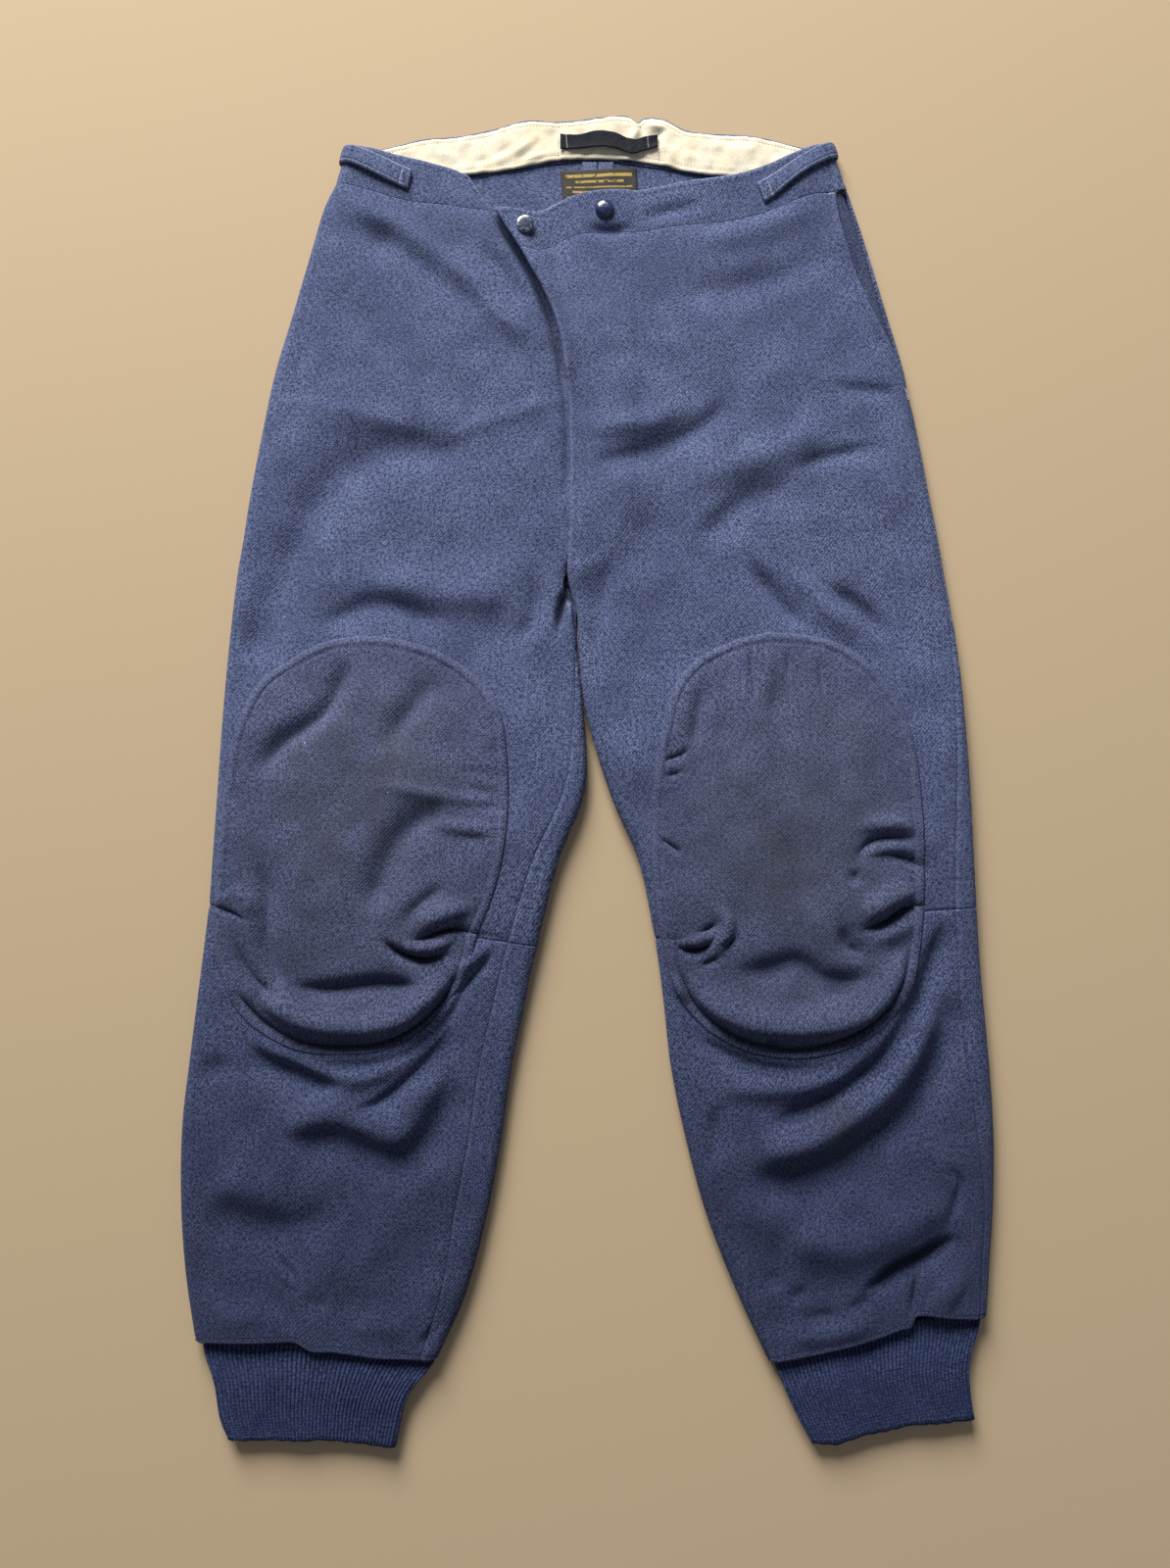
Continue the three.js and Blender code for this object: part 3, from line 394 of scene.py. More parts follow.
def foldsAt(folds, x, y):
    # the height of the folds, and how deep in a steep crease each place lies, for painted shade
    height, creaseShade = np.zeros_like(x), np.zeros_like(x)
    for points, (lit, shaded), high in folds:
        line = smoothLine(points)
        reach = 2.6 * max(lit, shaded)
        near = ((x > line[:, 0].min() - reach) & (x < line[:, 0].max() + reach)
                & (y > line[:, 1].min() - reach) & (y < line[:, 1].max() + reach))
        if not near.any():
            continue
        far, outX, outY, along, whole = nearestOn(line, x[near], y[near])
        toLight = (outX * litSide[0] + outY * litSide[1]) / np.maximum(far, 1e-6)
        wide = shaded + (lit - shaded) * smoothStep(toLight, -0.6, 0.6)
        fade = min(0.4 * whole, 26)
        taper = (smoothStep(along, -0.25 * fade, fade)
                 * smoothStep(whole - along, -0.25 * fade, fade))
        height[near] += foldGain * high * bell(far, wide) * taper
        steep = min(-foldGain * high / (lit + shaded) - 0.45, 1)
        if steep > 0:
            deep = steep * np.exp(-((1.9 * far / (lit + shaded)) ** 2)) * taper
            creaseShade[near] = np.maximum(creaseShade[near], deep)
    return height, creaseShade


def foldHeights(folds, x, y):
    return foldsAt(folds, x, y)[0]


rippleRandom = np.random.default_rng(7)
rippleWaves = [(rippleRandom.uniform(0, 2 * math.pi), rippleRandom.uniform(16, 95),
                rippleRandom.uniform(0, 2 * math.pi)) for _ in range(40)]


def ripple(x, y):
    height = np.zeros_like(x)
    for turn, long, start in rippleWaves:
        way = x * math.cos(turn) + y * math.sin(turn)
        height += 0.0026 * long * np.sin(2 * math.pi * way / long + start)
    return height


# One leg as a flattened tube


def makeLeg(name, side, rows, seams, folds):
    keys = ("down", "outerX", "outerY", "frontX", "frontY", "backX", "backY", "level", "sag")
    columns = dict(zip(keys, np.array(rows, float).T))
    return {"name": name, "side": side, "columns": columns, "seams": seams, "folds": folds}


def rowAt(oneLeg, down):
    table = oneLeg["columns"]
    row = {key: curveThrough(table["down"], table[key], down) for key in table if key != "down"}
    row["down"] = down
    row["closed"] = smoothStep(down, leg["crotch"] - 45, leg["crotch"])
    row["top"] = np.hypot(row["outerX"] - row["frontX"], row["outerY"] - row["frontY"])
    row["under"] = np.hypot(row["outerX"] - row["backX"], row["outerY"] - row["backY"])
    return row


def flapRise(x, y):
    edgeY = [row[4] for row in rightRows if row[0] <= 320][::-1]
    edgeX = [row[3] for row in rightRows if row[0] <= 320][::-1]
    over = smoothStep(np.interp(y, edgeY, edgeX) + leg["lapReach"] - x, 0, leg["lapReach"] - 4)
    return leg["lap"] * over * smoothStep(y, 122, 150)


def topPlace(oneLeg, row, way):
    part = way / row["top"]
    x = row["outerX"] + (row["frontX"] - row["outerX"]) * part
    y = row["outerY"] + (row["frontY"] - row["outerY"]) * part
    y = y + row["sag"] * 4 * part * (1 - part)
    name = oneLeg["name"].lower()
    y = y + waveAt(name + "Waist", x) * (1 - smoothStep(row["down"], 0, 60))
    y = y + waveAt(name + "Hem", x) * smoothStep(row["down"], 790, 855)
    inEdge = row["top"] - way
    near = np.minimum(way, 100 + (inEdge - 100) * row["closed"])
    calm = smoothStep(near, 1, 20)
    lap = flapRise(x, y) if name == "left" else 0
    puff = foldHeights(oneLeg["folds"], x, y) + ripple(x, y)
    full = row["level"] + lap + puff * calm
    spare = full - leg["lowest"]
    full = leg["lowest"] + 0.5 * (spare + np.sqrt(spare ** 2 + 4))  # never nearer to the floor
    middle = row["level"] / 2
    outerRoll = rolled(way / leg["roll"])
    innerRoll = 1 + (rolled(inEdge / leg["roll"]) - 1) * row["closed"]
    return x, y, middle + (full - middle) * outerRoll * innerRoll


def underPlace(row, way):
    part = way / row["under"]
    x = row["backX"] + (row["outerX"] - row["backX"]) * part
    y = row["backY"] + (row["outerY"] - row["backY"]) * part
    y = y + waveAt("backWaist", x) * (1 - smoothStep(row["down"], -36, 0))
    rest = cloth["wool"] / 2
    rise = row["level"] / 2 - rest
    atOuter = 1 - rolled((row["under"] - way) / leg["rollUnder"])
    atInner = (1 - rolled(way / leg["rollUnder"])) * row["closed"]
    calm = smoothStep(np.minimum(way, row["under"] - way), 6, 40) * smoothStep(row["down"], 60, 120)
    wrinkle = np.maximum(ripple(x * 1.3, y * 0.8), 0) * 0.9 * calm
    return x, y, rest + rise * (atOuter + atInner) + wrinkle


def legPlace(oneLeg, down, way):
    row = rowAt(oneLeg, down)
    whole = row["top"] + row["under"]
    top = (way >= 0) & (way <= row["top"]) | (way > whole)
    topWay = np.where(way > whole, way - whole, np.clip(way, 0, row["top"]))
    underWay = np.where(way < 0, row["under"] + way, np.clip(way - row["top"], 0, row["under"]))
    above = topPlace(oneLeg, row, topWay)
    below = underPlace(row, underWay)
    return np.stack([np.where(top, a, b) for a, b in zip(above, below)], -1)


def legWay(oneLeg, x, y):
    # down and the way over the top at the places x, y
    down = np.interp(-y, -oneLeg["columns"]["outerY"], oneLeg["columns"]["down"])
    for _ in range(25):
        row = rowAt(oneLeg, down)
        part = (x - row["outerX"]) / (row["frontX"] - row["outerX"])
        rowY = row["outerY"] + (row["frontY"] - row["outerY"]) * part
        rowY = rowY + row["sag"] * 4 * part * (1 - part)
        down = np.clip(down + 0.8 * (rowY - y), -leg["bandTall"], leg["hem"])
    row = rowAt(oneLeg, down)
    return down, np.clip((x - row["outerX"]) / (row["frontX"] - row["outerX"]), 0, 1) * row["top"]


def lineAt(pairs, x):
    xs, ys = zip(*pairs)
    return np.interp(x, xs, ys)


def seamWays(oneLeg, down):
    row = rowAt(oneLeg, down)
    seams = oneLeg["seams"]
    whole = row["top"] + row["under"]
    outseam = lineAt(seams["outseam"], down)
    pocket = (down > 0) & (down < leg["pocketEnd"])
    backOut = np.where(pocket, lineAt(seams["pocketBack"], down), outseam)
    inseam = np.where(down < leg["crotch"], row["top"], row["top"] - lineAt(seams["inseam"], down))
    return outseam, backOut, inseam, whole


def spreadWays(start, end, step, reachStart, reachEnd):
    # columns from start to end, one row for each pair, closer together near both ends
    start, end = np.asarray(start, float)[:, None], np.asarray(end, float)[:, None]
    fine = cloth["edgeStep"]
    first = np.linspace(0, reachStart, max(int(round(reachStart / fine)), 1) + 1)[None, :]
    last = np.linspace(reachEnd, 0, max(int(round(reachEnd / fine)), 1) + 1)[None, :]
    widest = float((end - start).max()) - reachStart - reachEnd
    count = max(int(math.ceil(widest / step)), 2)
    inside = np.linspace(0, 1, count + 1)[None, 1:-1]
    low, high = start + reachStart, end - reachEnd
    return np.concatenate([start + first, low + (high - low) * inside, end - last], 1)


def spreadDowns(start, end, step):
    return spreadWays([start], [end], step, 6, 6)[0]


# Sheets


def inMetres(places):
    return (np.asarray(places, float) - [tableMiddle[0], tableMiddle[1], 0]) / 1000


def gridNormals(places, closed=False):
    if closed:
        across = np.roll(places, -1, 1) - np.roll(places, 1, 1)
        across[:, 0] = places[:, 1] - places[:, -2]
        across[:, -1] = across[:, 0]
    else:
        across = np.gradient(places, axis=1)
    along = np.gradient(places, axis=0)
    normal = np.cross(across, along)
    return normal / np.maximum(np.linalg.norm(normal, axis=-1, keepdims=True), 1e-9)


def edgeRelief(far, kind):
    if kind == "seam":  # two edges sewn together and pressed open
        return -1.0 * bell(far, 1.0) - 0.35 * bell(far, 4.5)
    if kind == "band":  # well pressed, and sunk between thicker layers
        return -0.1 * bell(far, 1.6) - 0.55 * bell(far, 5.0)
    if kind == "felled":  # both seam edges lie under this side and are stitched down
        ridge = 0.3 * smoothStep(far, 0.8, 2.4) * (1 - smoothStep(far, 6.4, 8))
        return ridge - 0.8 * bell(far, 1.0) - 0.25 * bell(far, 1.0, 6.4)
    if kind == "folded":  # the cloth turns under
        return -1.5 * (1 - rolled(far / 2.6)) - 0.25 * bell(far, 1.5, 6)
    if kind == "piped":  # a stitched rim stands out along the edge
        rim = 0.3 * bell(far, 0.8, 1.0) - 0.6 * bell(far, 0.9, 2.6)
        return rim - 1.2 * (1 - rolled(far / 1.3))
    return np.zeros_like(far)


def edgeWear(far, kind):
    if kind in ("seam", "felled"):
        return 0.06 * bell(far, 1.1, 1.8)
    if kind == "folded":
        return 0.3 * bell(far, 1.7)
    if kind == "piped":
        return 0.45 * bell(far, 0.8, 0.8)
    return np.zeros_like(far)


def selectOnly(obj):
    bpy.ops.object.select_all(action="DESELECT")
    obj.select_set(True)
    bpy.context.view_layer.objects.active = obj


def addModifier(obj, kind, **settings):
    selectOnly(obj)
    bpy.ops.object.modifier_add(type=kind)
    modifier = obj.modifiers[-1]
    for key, value in settings.items():
        setattr(modifier, key, value)
    bpy.ops.object.modifier_apply(modifier=modifier.name)


def finishPiece(piece, material, nodes):
    piece.data.materials.clear()
    piece.data.materials.append(material)
    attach(piece, "root")
    if nodes:
        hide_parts(*nodes)
    return piece


def layGrid(name, places, ways, downs, marks=None, thick=1.6, upward=True, welded=False):
    # a grid primitive, laid on the places and thickened; ways and downs are its UV map
    rows, columns = places.shape[:2]
    bpy.ops.object.select_all(action="DESELECT")
    bpy.ops.mesh.primitive_grid_add(x_subdivisions=columns - 1, y_subdivisions=rows - 1, size=1)
    sheet = bpy.context.object
    sheet.name = name
    sheet.data.name = name
    flip = slice(None, None, -1) if upward else slice(None)
    places = places[flip]
    mesh = sheet.data
    mesh.vertices.foreach_set("co", inMetres(places).ravel())
    corners = np.empty(len(mesh.loops), np.int32)
    mesh.loops.foreach_get("vertex_index", corners)
    flat = np.stack([ways[flip], np.broadcast_to(downs, ways.shape)[flip]], -1)
    flat = flat.reshape(-1, 2) / 1000
    mesh.uv_layers[0].data.foreach_set("uv", flat[corners].ravel())
    for key, values in (marks or {}).items():
        attribute = mesh.attributes.new(key, "FLOAT", "POINT")
        attribute.data.foreach_set("value", values[flip].ravel().astype(np.float32))
    mesh.update()
    if welded:
        selectOnly(sheet)
        bpy.ops.object.mode_set(mode="EDIT")
        bpy.ops.mesh.select_all(action="SELECT")
        bpy.ops.mesh.remove_doubles(threshold=0.00002)
        bpy.ops.object.mode_set(mode="OBJECT")
    addModifier(sheet, "SOLIDIFY", thickness=thick / 1000, offset=0)
    selectOnly(sheet)
    bpy.ops.object.shade_smooth()
    return sheet


def sumEdges(distances, edges, downs, rule):
    total = 0
    for place, far in distances.items():
        kinds = edges.get(place, "none")
        if isinstance(kinds, str):
            total = total + rule(far, kinds)
            continue
        for kind, start, end in kinds:  # the kind changes on the way down
            share = (smoothStep(downs, start - 6, start + 6)
                     * (1 - smoothStep(downs, end - 6, end + 6)))
            total = total + rule(far, kind) * share
    return total


def stainsAt(spots, x, y):
    amount = np.zeros_like(x)
    for spotX, spotY, wide, strength in spots:
        amount += strength * np.exp(-((x - spotX) ** 2 + (y - spotY) ** 2) / wide ** 2)
    return np.clip(amount, 0, 1)


def legSheet(name, oneLeg, downs, ways, edges, thick, lift=0.0, extra=None, stains=(), shade=0.0):
    downs = np.asarray(downs, float)
    downGrid = np.broadcast_to(downs[:, None], ways.shape)
    places = legPlace(oneLeg, downGrid, ways)
    normals = gridNormals(places)
    right = oneLeg["side"] > 0
    if right:
        normals = -normals
    distances = {
        "top": downGrid - downs[0],
        "bottom": downs[-1] - downGrid,
        "first": ways - ways[:, :1],
        "last": ways[:, -1:] - ways,
    }
    relief = sumEdges(distances, edges, downGrid, edgeRelief) + lift
    if extra is not None:
        relief = relief + extra(places[..., 0], places[..., 1], downGrid)
    places = places + normals * relief[..., None]
    wear = sumEdges(distances, edges, downGrid, edgeWear)
    # painted shade in steep creases, and, through shade, on the left pocket bearer
    creaseShade = np.maximum(foldsAt(oneLeg["folds"], places[..., 0], places[..., 1])[1], shade)
    marks = {"wear": np.clip(wear, 0, 1), "creaseShade": creaseShade * (places[..., 2] > 3),
             "stain": stainsAt(stains, places[..., 0], places[..., 1])}
    return layGrid(name, places, ways * oneLeg["side"], downGrid, marks, thick, upward=right)


# Materials


def toLinear(hexColor):
    values = [int(hexColor[i:i + 2], 16) / 255 for i in (1, 3, 5)]
    return [v / 12.92 if v <= 0.04045 else ((v + 0.055) / 1.055) ** 2.4 for v in values] + [1]


def fillNode(tree, node, settings):
    # a node or a socket among the settings is linked, and anything else is set
    for key, value in settings.items():
        if isinstance(value, bpy.types.Node):
            value = value.outputs[0]
        if isinstance(value, bpy.types.NodeSocket):
            tree.links.new(value, node.inputs[key])
        elif isinstance(key, int) or key in node.inputs:
            node.inputs[key].default_value = value
        else:
            setattr(node, key, value)
    return node


def addNode(tree, kind, settings):
    return fillNode(tree, tree.nodes.new(kind), settings)


def startMaterial(name, shaderSettings):
    material = bpy.data.materials.new(name)
    material.use_nodes = True
    tree = material.node_tree
    return material, tree, fillNode(tree, tree.nodes["Principled BSDF"], shaderSettings)


def perMetre(millimetres):
    # a pattern's scale, from how far it runs before it repeats or changes
    return 1000 / millimetres


def span(low, high, start=0.0, end=1.0):
    return {"From Min": low, "From Max": high, "To Min": start, "To Max": end}


def tinted(tree, color, layers):
    # a layer is what it follows, the range of that with the layer's share at both ends, its
    # colour, and how it is blended if it isn't mixed
    for source, ends, tint, *blend in layers:
        share = addNode(tree, "ShaderNodeMapRange", {**span(*ends), "Value": source})
        color = addNode(tree, "ShaderNodeMix", {
            "data_type": "RGBA", "blend_type": blend[0] if blend else "MIX",
            "Factor": share, 6: color, 7: toLinear(tint),
        }).outputs[2]
    return color


def woolTwill(name, look):
    # Heather wool twill, woven from dyed fibres: dull, with fine slanting ribs, pale and dark
    # flecks, a dusty bloom at low angles and paler, rubbed edges.
    material, tree, shader = startMaterial(name, {
        "Roughness": 0.95, "Specular IOR Level": 0.18, "Sheen Weight": look["sheen"],
        "Sheen Roughness": 0.55, "Sheen Tint": toLinear("#8f9cc4"),
    })
    uv = addNode(tree, "ShaderNodeUVMap", {"uv_map": "UVMap"})
    place = addNode(tree, "ShaderNodeTexCoord", {}).outputs["Object"]
    # such twill has ribs about 1.2 mm apart; they are drawn 2 mm apart so that they show,
    # which is 2.756 mm along the width and 2.869 mm along the length
    turns = (math.tau * perMetre(2.756), math.tau * perMetre(2.869), 0.0)
    slant = addNode(tree, "ShaderNodeVectorMath", {"operation": "DOT_PRODUCT", 0: uv, 1: turns})
    wobble = addNode(tree, "ShaderNodeTexNoise",
                     {"Scale": perMetre(4.167), "Detail": 1.0, "Vector": uv})
    phase = addNode(tree, "ShaderNodeMath", {"operation": "MULTIPLY_ADD", 0: wobble, 1: 2.2,
                                             2: slant.outputs["Value"]})
    rib = addNode(tree, "ShaderNodeMath", {"operation": "SINE", 0: phase})
    # flecks of dyed fibre, drawn out along the warp and along the weft; real ones are about
    # 0.3 mm thick, and they are drawn 1.1 mm thick so that they show
    grains = []
    for wide, tall in ((1.111, 3.03), (3.03, 1.111)):
        stretch = (perMetre(wide), perMetre(tall), 1.0)
        drawn = addNode(tree, "ShaderNodeMapping", {"Scale": stretch, "Vector": uv})
        grains.append(addNode(tree, "ShaderNodeTexNoise",
                              {"Scale": 1.0, "Detail": 2.0, "Roughness": 0.7, "Vector": drawn}))
    flecks = addNode(tree, "ShaderNodeMix", {"Factor": 0.5, 2: grains[0], 3: grains[1]})
    stretch = (perMetre(1.613), perMetre(33.33), 1.0)
    drawn = addNode(tree, "ShaderNodeMapping", {"Scale": stretch, "Vector": uv})
    threads = addNode(tree, "ShaderNodeTexNoise", {"Scale": 1.0, "Detail": 1.0, "Vector": drawn})
    mottle = addNode(tree, "ShaderNodeTexNoise",
                     {"Scale": perMetre(26.3), "Detail": 3.0, "Vector": place})
    cloud = addNode(tree, "ShaderNodeTexNoise",
                    {"Scale": perMetre(143), "Detail": 2.0, "Vector": place})
    # the crease mark says where painted shade darkens the wool
    stain, wear, creaseShade = (
        addNode(tree, "ShaderNodeAttribute", {"attribute_name": key}).outputs["Fac"]
        for key in ("stain", "wear", "creaseShade"))
    patchy = addNode(tree, "ShaderNodeMapRange", {**span(0.3, 0.6, 0.1, 0.55), "Value": mottle})
    soiled = addNode(tree, "ShaderNodeMath", {"operation": "MULTIPLY", 0: stain, 1: patchy})
    grainy = addNode(tree, "ShaderNodeMapRange", {**span(0.3, 0.6, 0.25, 0.75), "Value": flecks})
    rubbed = addNode(tree, "ShaderNodeMath", {"operation": "MULTIPLY", 0: wear, 1: grainy})
    # loose pale fibres about 1 mm across, in some of the cells that are 21.7 mm wide
    lint = addNode(tree, "ShaderNodeTexVoronoi",
                   {"Scale": perMetre(21.74), "Randomness": 1.0, "Vector": place})
    cell = addNode(tree, "ShaderNodeSeparateColor", {"Color": lint.outputs["Color"]})
    small = addNode(tree, "ShaderNodeMath",
                    {"operation": "LESS_THAN", 0: lint.outputs["Distance"], 1: 0.024})
    few = addNode(tree, "ShaderNodeMath",
                  {"operation": "GREATER_THAN", 0: cell.outputs["Red"], 1: 0.82})
    fibres = addNode(tree, "ShaderNodeMath", {"operation": "MULTIPLY", 0: small, 1: few})
    along = addNode(tree, "ShaderNodeSeparateXYZ", {0: place}).outputs["Y"]
    color = tinted(tree, toLinear(look["dark"]), [
        (flecks, (0.43, 0.57), look["pale"]),
        (flecks, (0, 1, 0.15, 0.15), look["mid"]),
        (rib, (-1, 0.2, 0.45, 0), look["dark"]),
        (threads, (0.6, 0.72, 0, 0.3), look["pale"]),
        (mottle, (0.4, 0.62, 0, 0.25), look["dark"]),
        (cloud, (0.42, 0.62, 0, 0.2), look["cloud"]),
        (soiled, (0, 1), look["soil"]),
        (rubbed, (0, 1), look["worn"]),
        (creaseShade, (0, 1, 0, 0.85), look["creaseShade"]),  # painted shade deep in the steep creases
        (fibres, (0, 1), "#b9bccb"),
        (along, (0.02, -0.34), look["deep"], "MULTIPLY"),  # darker from the knees down to the cuffs
    ])
    fuzz = addNode(tree, "ShaderNodeMapRange", {**span(0.3, 0.7, 0, 1.3), "Value": flecks})
    height = addNode(tree, "ShaderNodeMath",
                     {"operation": "MULTIPLY_ADD", 0: rib, 1: 0.35, 2: fuzz})
    bump = addNode(tree, "ShaderNodeBump",
                   {"Strength": 0.55, "Distance": 0.0003, "Height": height})
    fillNode(tree, shader, {"Base Color": color, "Normal": bump})
    return material


knitLook = {
    # the knit's colours are set darker, partly for darker yarn and partly as painted shade for the
    # dimmer light at the cuffs; the colour for the hollows between the ribs is painted shade
    "yarn": "#131a33", "fleck": "#434f7a", "loop": "#44517e", "ribGapShade": "#080d1e",
    "cloud": "#1b2445",
    "loopTall": 2.205, "fleckWide": 1.613, "cloudWide": 16.67,  # millimetres
}


def ribKnit():
    # Worsted rib knit, 1 by 1: deeper blue, each rib a column of slanted loops.
    material, tree, shader = startMaterial("worstedRibKnit", {
        "Roughness": 0.95, "Specular IOR Level": 0.15, "Sheen Weight": 0.2,
        "Sheen Roughness": 0.5, "Sheen Tint": toLinear("#7f92c4"),
    })
    uv = addNode(tree, "ShaderNodeUVMap", {"uv_map": "UVMap"})
    place = addNode(tree, "ShaderNodeTexCoord", {}).outputs["Object"]
    parts = addNode(tree, "ShaderNodeSeparateXYZ", {0: uv})
    # U counts ribs. Such a knit has loops about 1.3 mm tall; they are drawn 2.2 mm tall.
    inRib = addNode(tree, "ShaderNodeMath",
                    {"operation": "PINGPONG", 0: parts.outputs["X"], 1: 0.5})
    courses = addNode(tree, "ShaderNodeMath",
                      {"operation": "MULTIPLY", 0: parts.outputs["Y"],
                       1: math.tau * perMetre(knitLook["loopTall"])})
    rise = addNode(tree, "ShaderNodeMath",
                   {"operation": "MULTIPLY_ADD", 0: inRib, 1: 5.0, 2: courses})
    loops = addNode(tree, "ShaderNodeMath", {"operation": "SINE", 0: rise})
    flecks = addNode(tree, "ShaderNodeTexNoise",
                     {"Scale": perMetre(knitLook["fleckWide"]), "Detail": 2.0,
                      "Roughness": 0.7, "Vector": place})
    mottle = addNode(tree, "ShaderNodeTexNoise",
                     {"Scale": perMetre(knitLook["cloudWide"]), "Detail": 2.0, "Vector": place})
    ribGapShade = addNode(tree, "ShaderNodeAttribute", {"attribute_name": "ribGapShade"}).outputs["Fac"]
    color = tinted(tree, toLinear(knitLook["yarn"]), [
        (flecks, (0.38, 0.62), knitLook["fleck"]),
        (loops, (-1, 1, 0, 0.14), knitLook["loop"]),
        # painted shade in the hollows between the ribs
        (ribGapShade, (0, 1), knitLook["ribGapShade"]),
        (mottle, (0.45, 0.65, 0, 0.3), knitLook["cloud"]),
    ])
    height = addNode(tree, "ShaderNodeMath",
                     {"operation": "MULTIPLY_ADD", 0: loops, 1: 0.3, 2: flecks})
    bump = addNode(tree, "ShaderNodeBump", {"Strength": 0.5, "Distance": 0.0004, "Height": height})
    fillNode(tree, shader, {"Base Color": color, "Normal": bump})
    return material


cottonLook = {
    "cloth": "#e4dcc6", "thread": "#f6f0df", "blotch": "#dfcb9c", "soil": "#dccfae",
    "threads": (1.667, 1.111), "blotchWide": 23.81, "soilWide": 71.43,  # millimetres
}


def facingCotton():
    # Unbleached cotton twill, aged: cream, with yellow blotches and faint, broad patches of soil.
    material, tree, shader = startMaterial("unbleachedCottonTwill", {
        "Roughness": 0.9, "Specular IOR Level": 0.2, "Sheen Weight": 0.1,
    })
    uv = addNode(tree, "ShaderNodeUVMap", {"uv_map": "UVMap"})
    place = addNode(tree, "ShaderNodeTexCoord", {}).outputs["Object"]
    # its threads are about 0.5 mm thick; they are drawn at 1.7 and 1.1 mm so that they show
    wide, tall = cottonLook["threads"]
    stretch = (perMetre(wide), perMetre(tall), 1.0)
    drawn = addNode(tree, "ShaderNodeMapping", {"Scale": stretch, "Vector": uv})
    weave = addNode(tree, "ShaderNodeTexNoise", {"Scale": 1.0, "Detail": 1.0, "Vector": drawn})
    blotch = addNode(tree, "ShaderNodeTexNoise",
                     {"Scale": perMetre(cottonLook["blotchWide"]), "Detail": 3.0, "Vector": place})
    faint = addNode(tree, "ShaderNodeTexNoise",
                    {"Scale": perMetre(cottonLook["soilWide"]), "Detail": 2.0, "Vector": place})
    color = tinted(tree, toLinear(cottonLook["cloth"]), [
        (weave, (0.35, 0.65), cottonLook["thread"]),
        (blotch, (0.5, 0.7, 0, 0.4), cottonLook["blotch"]),
        (faint, (0.48, 0.66, 0, 0.35), cottonLook["soil"]),
    ])
    bump = addNode(tree, "ShaderNodeBump", {"Strength": 0.4, "Distance": 0.0002, "Height": weave})
    fillNode(tree, shader, {"Base Color": color, "Normal": bump})
    return material


tapeLook = {
    "cloth": "#0e1018", "rib": "#22252f", "fuzz": "#3a4056",
    "ribApart": 2.417, "fuzzWide": 2,  # millimetres
}


def loopTape():
    # Navy twill tape, close and dark, with a fine rib across it.
    material, tree, shader = startMaterial("navyTwillTape", {
        "Roughness": 0.85, "Specular IOR Level": 0.2, "Sheen Weight": 0.05,
    })
    uv = addNode(tree, "ShaderNodeUVMap", {"uv_map": "UVMap"})
    # such tape has ribs about 1 mm apart; they are drawn 1.7 mm apart so that they show,
    # which is 2.417 mm both along it and across it
    turns = math.tau * perMetre(tapeLook["ribApart"])
    cross = addNode(tree, "ShaderNodeVectorMath",
                    {"operation": "DOT_PRODUCT", 0: uv, 1: (turns, turns, 0.0)})
    rib = addNode(tree, "ShaderNodeMath", {"operation": "SINE", 0: cross.outputs["Value"]})
    fuzz = addNode(tree, "ShaderNodeTexNoise",
                   {"Scale": perMetre(tapeLook["fuzzWide"]), "Detail": 2.0, "Vector": uv})
    color = tinted(tree, toLinear(tapeLook["cloth"]), [
        (rib, (-1, 1), tapeLook["rib"]),
        (fuzz, (0.5, 0.7, 0, 0.5), tapeLook["fuzz"]),
    ])
    bump = addNode(tree, "ShaderNodeBump", {"Strength": 0.6, "Distance": 0.0003, "Height": rib})
    fillNode(tree, shader, {"Base Color": color, "Normal": bump})
    return material


labelLook = {
    "ground": "#191a1c", "thread": "#34332f", "gold": "#b3974e",
    "threadWide": 1.111, "wornWide": (3.846, 4.167),  # millimetres
    "bars": [  # low and high edge, left and right end, in metres
        (0.0042, 0.0068, 0.004, 0.059),
        (0.0096, 0.0116, 0.012, 0.052),
        (0.0148, 0.0160, 0.004, 0.059),
        (0.0186, 0.0204, 0.009, 0.054),
        (0.0236, 0.0246, 0.004, 0.059),
        (0.0272, 0.0290, 0.016, 0.047),
    ],
    "barSoft": 0.0003,
}


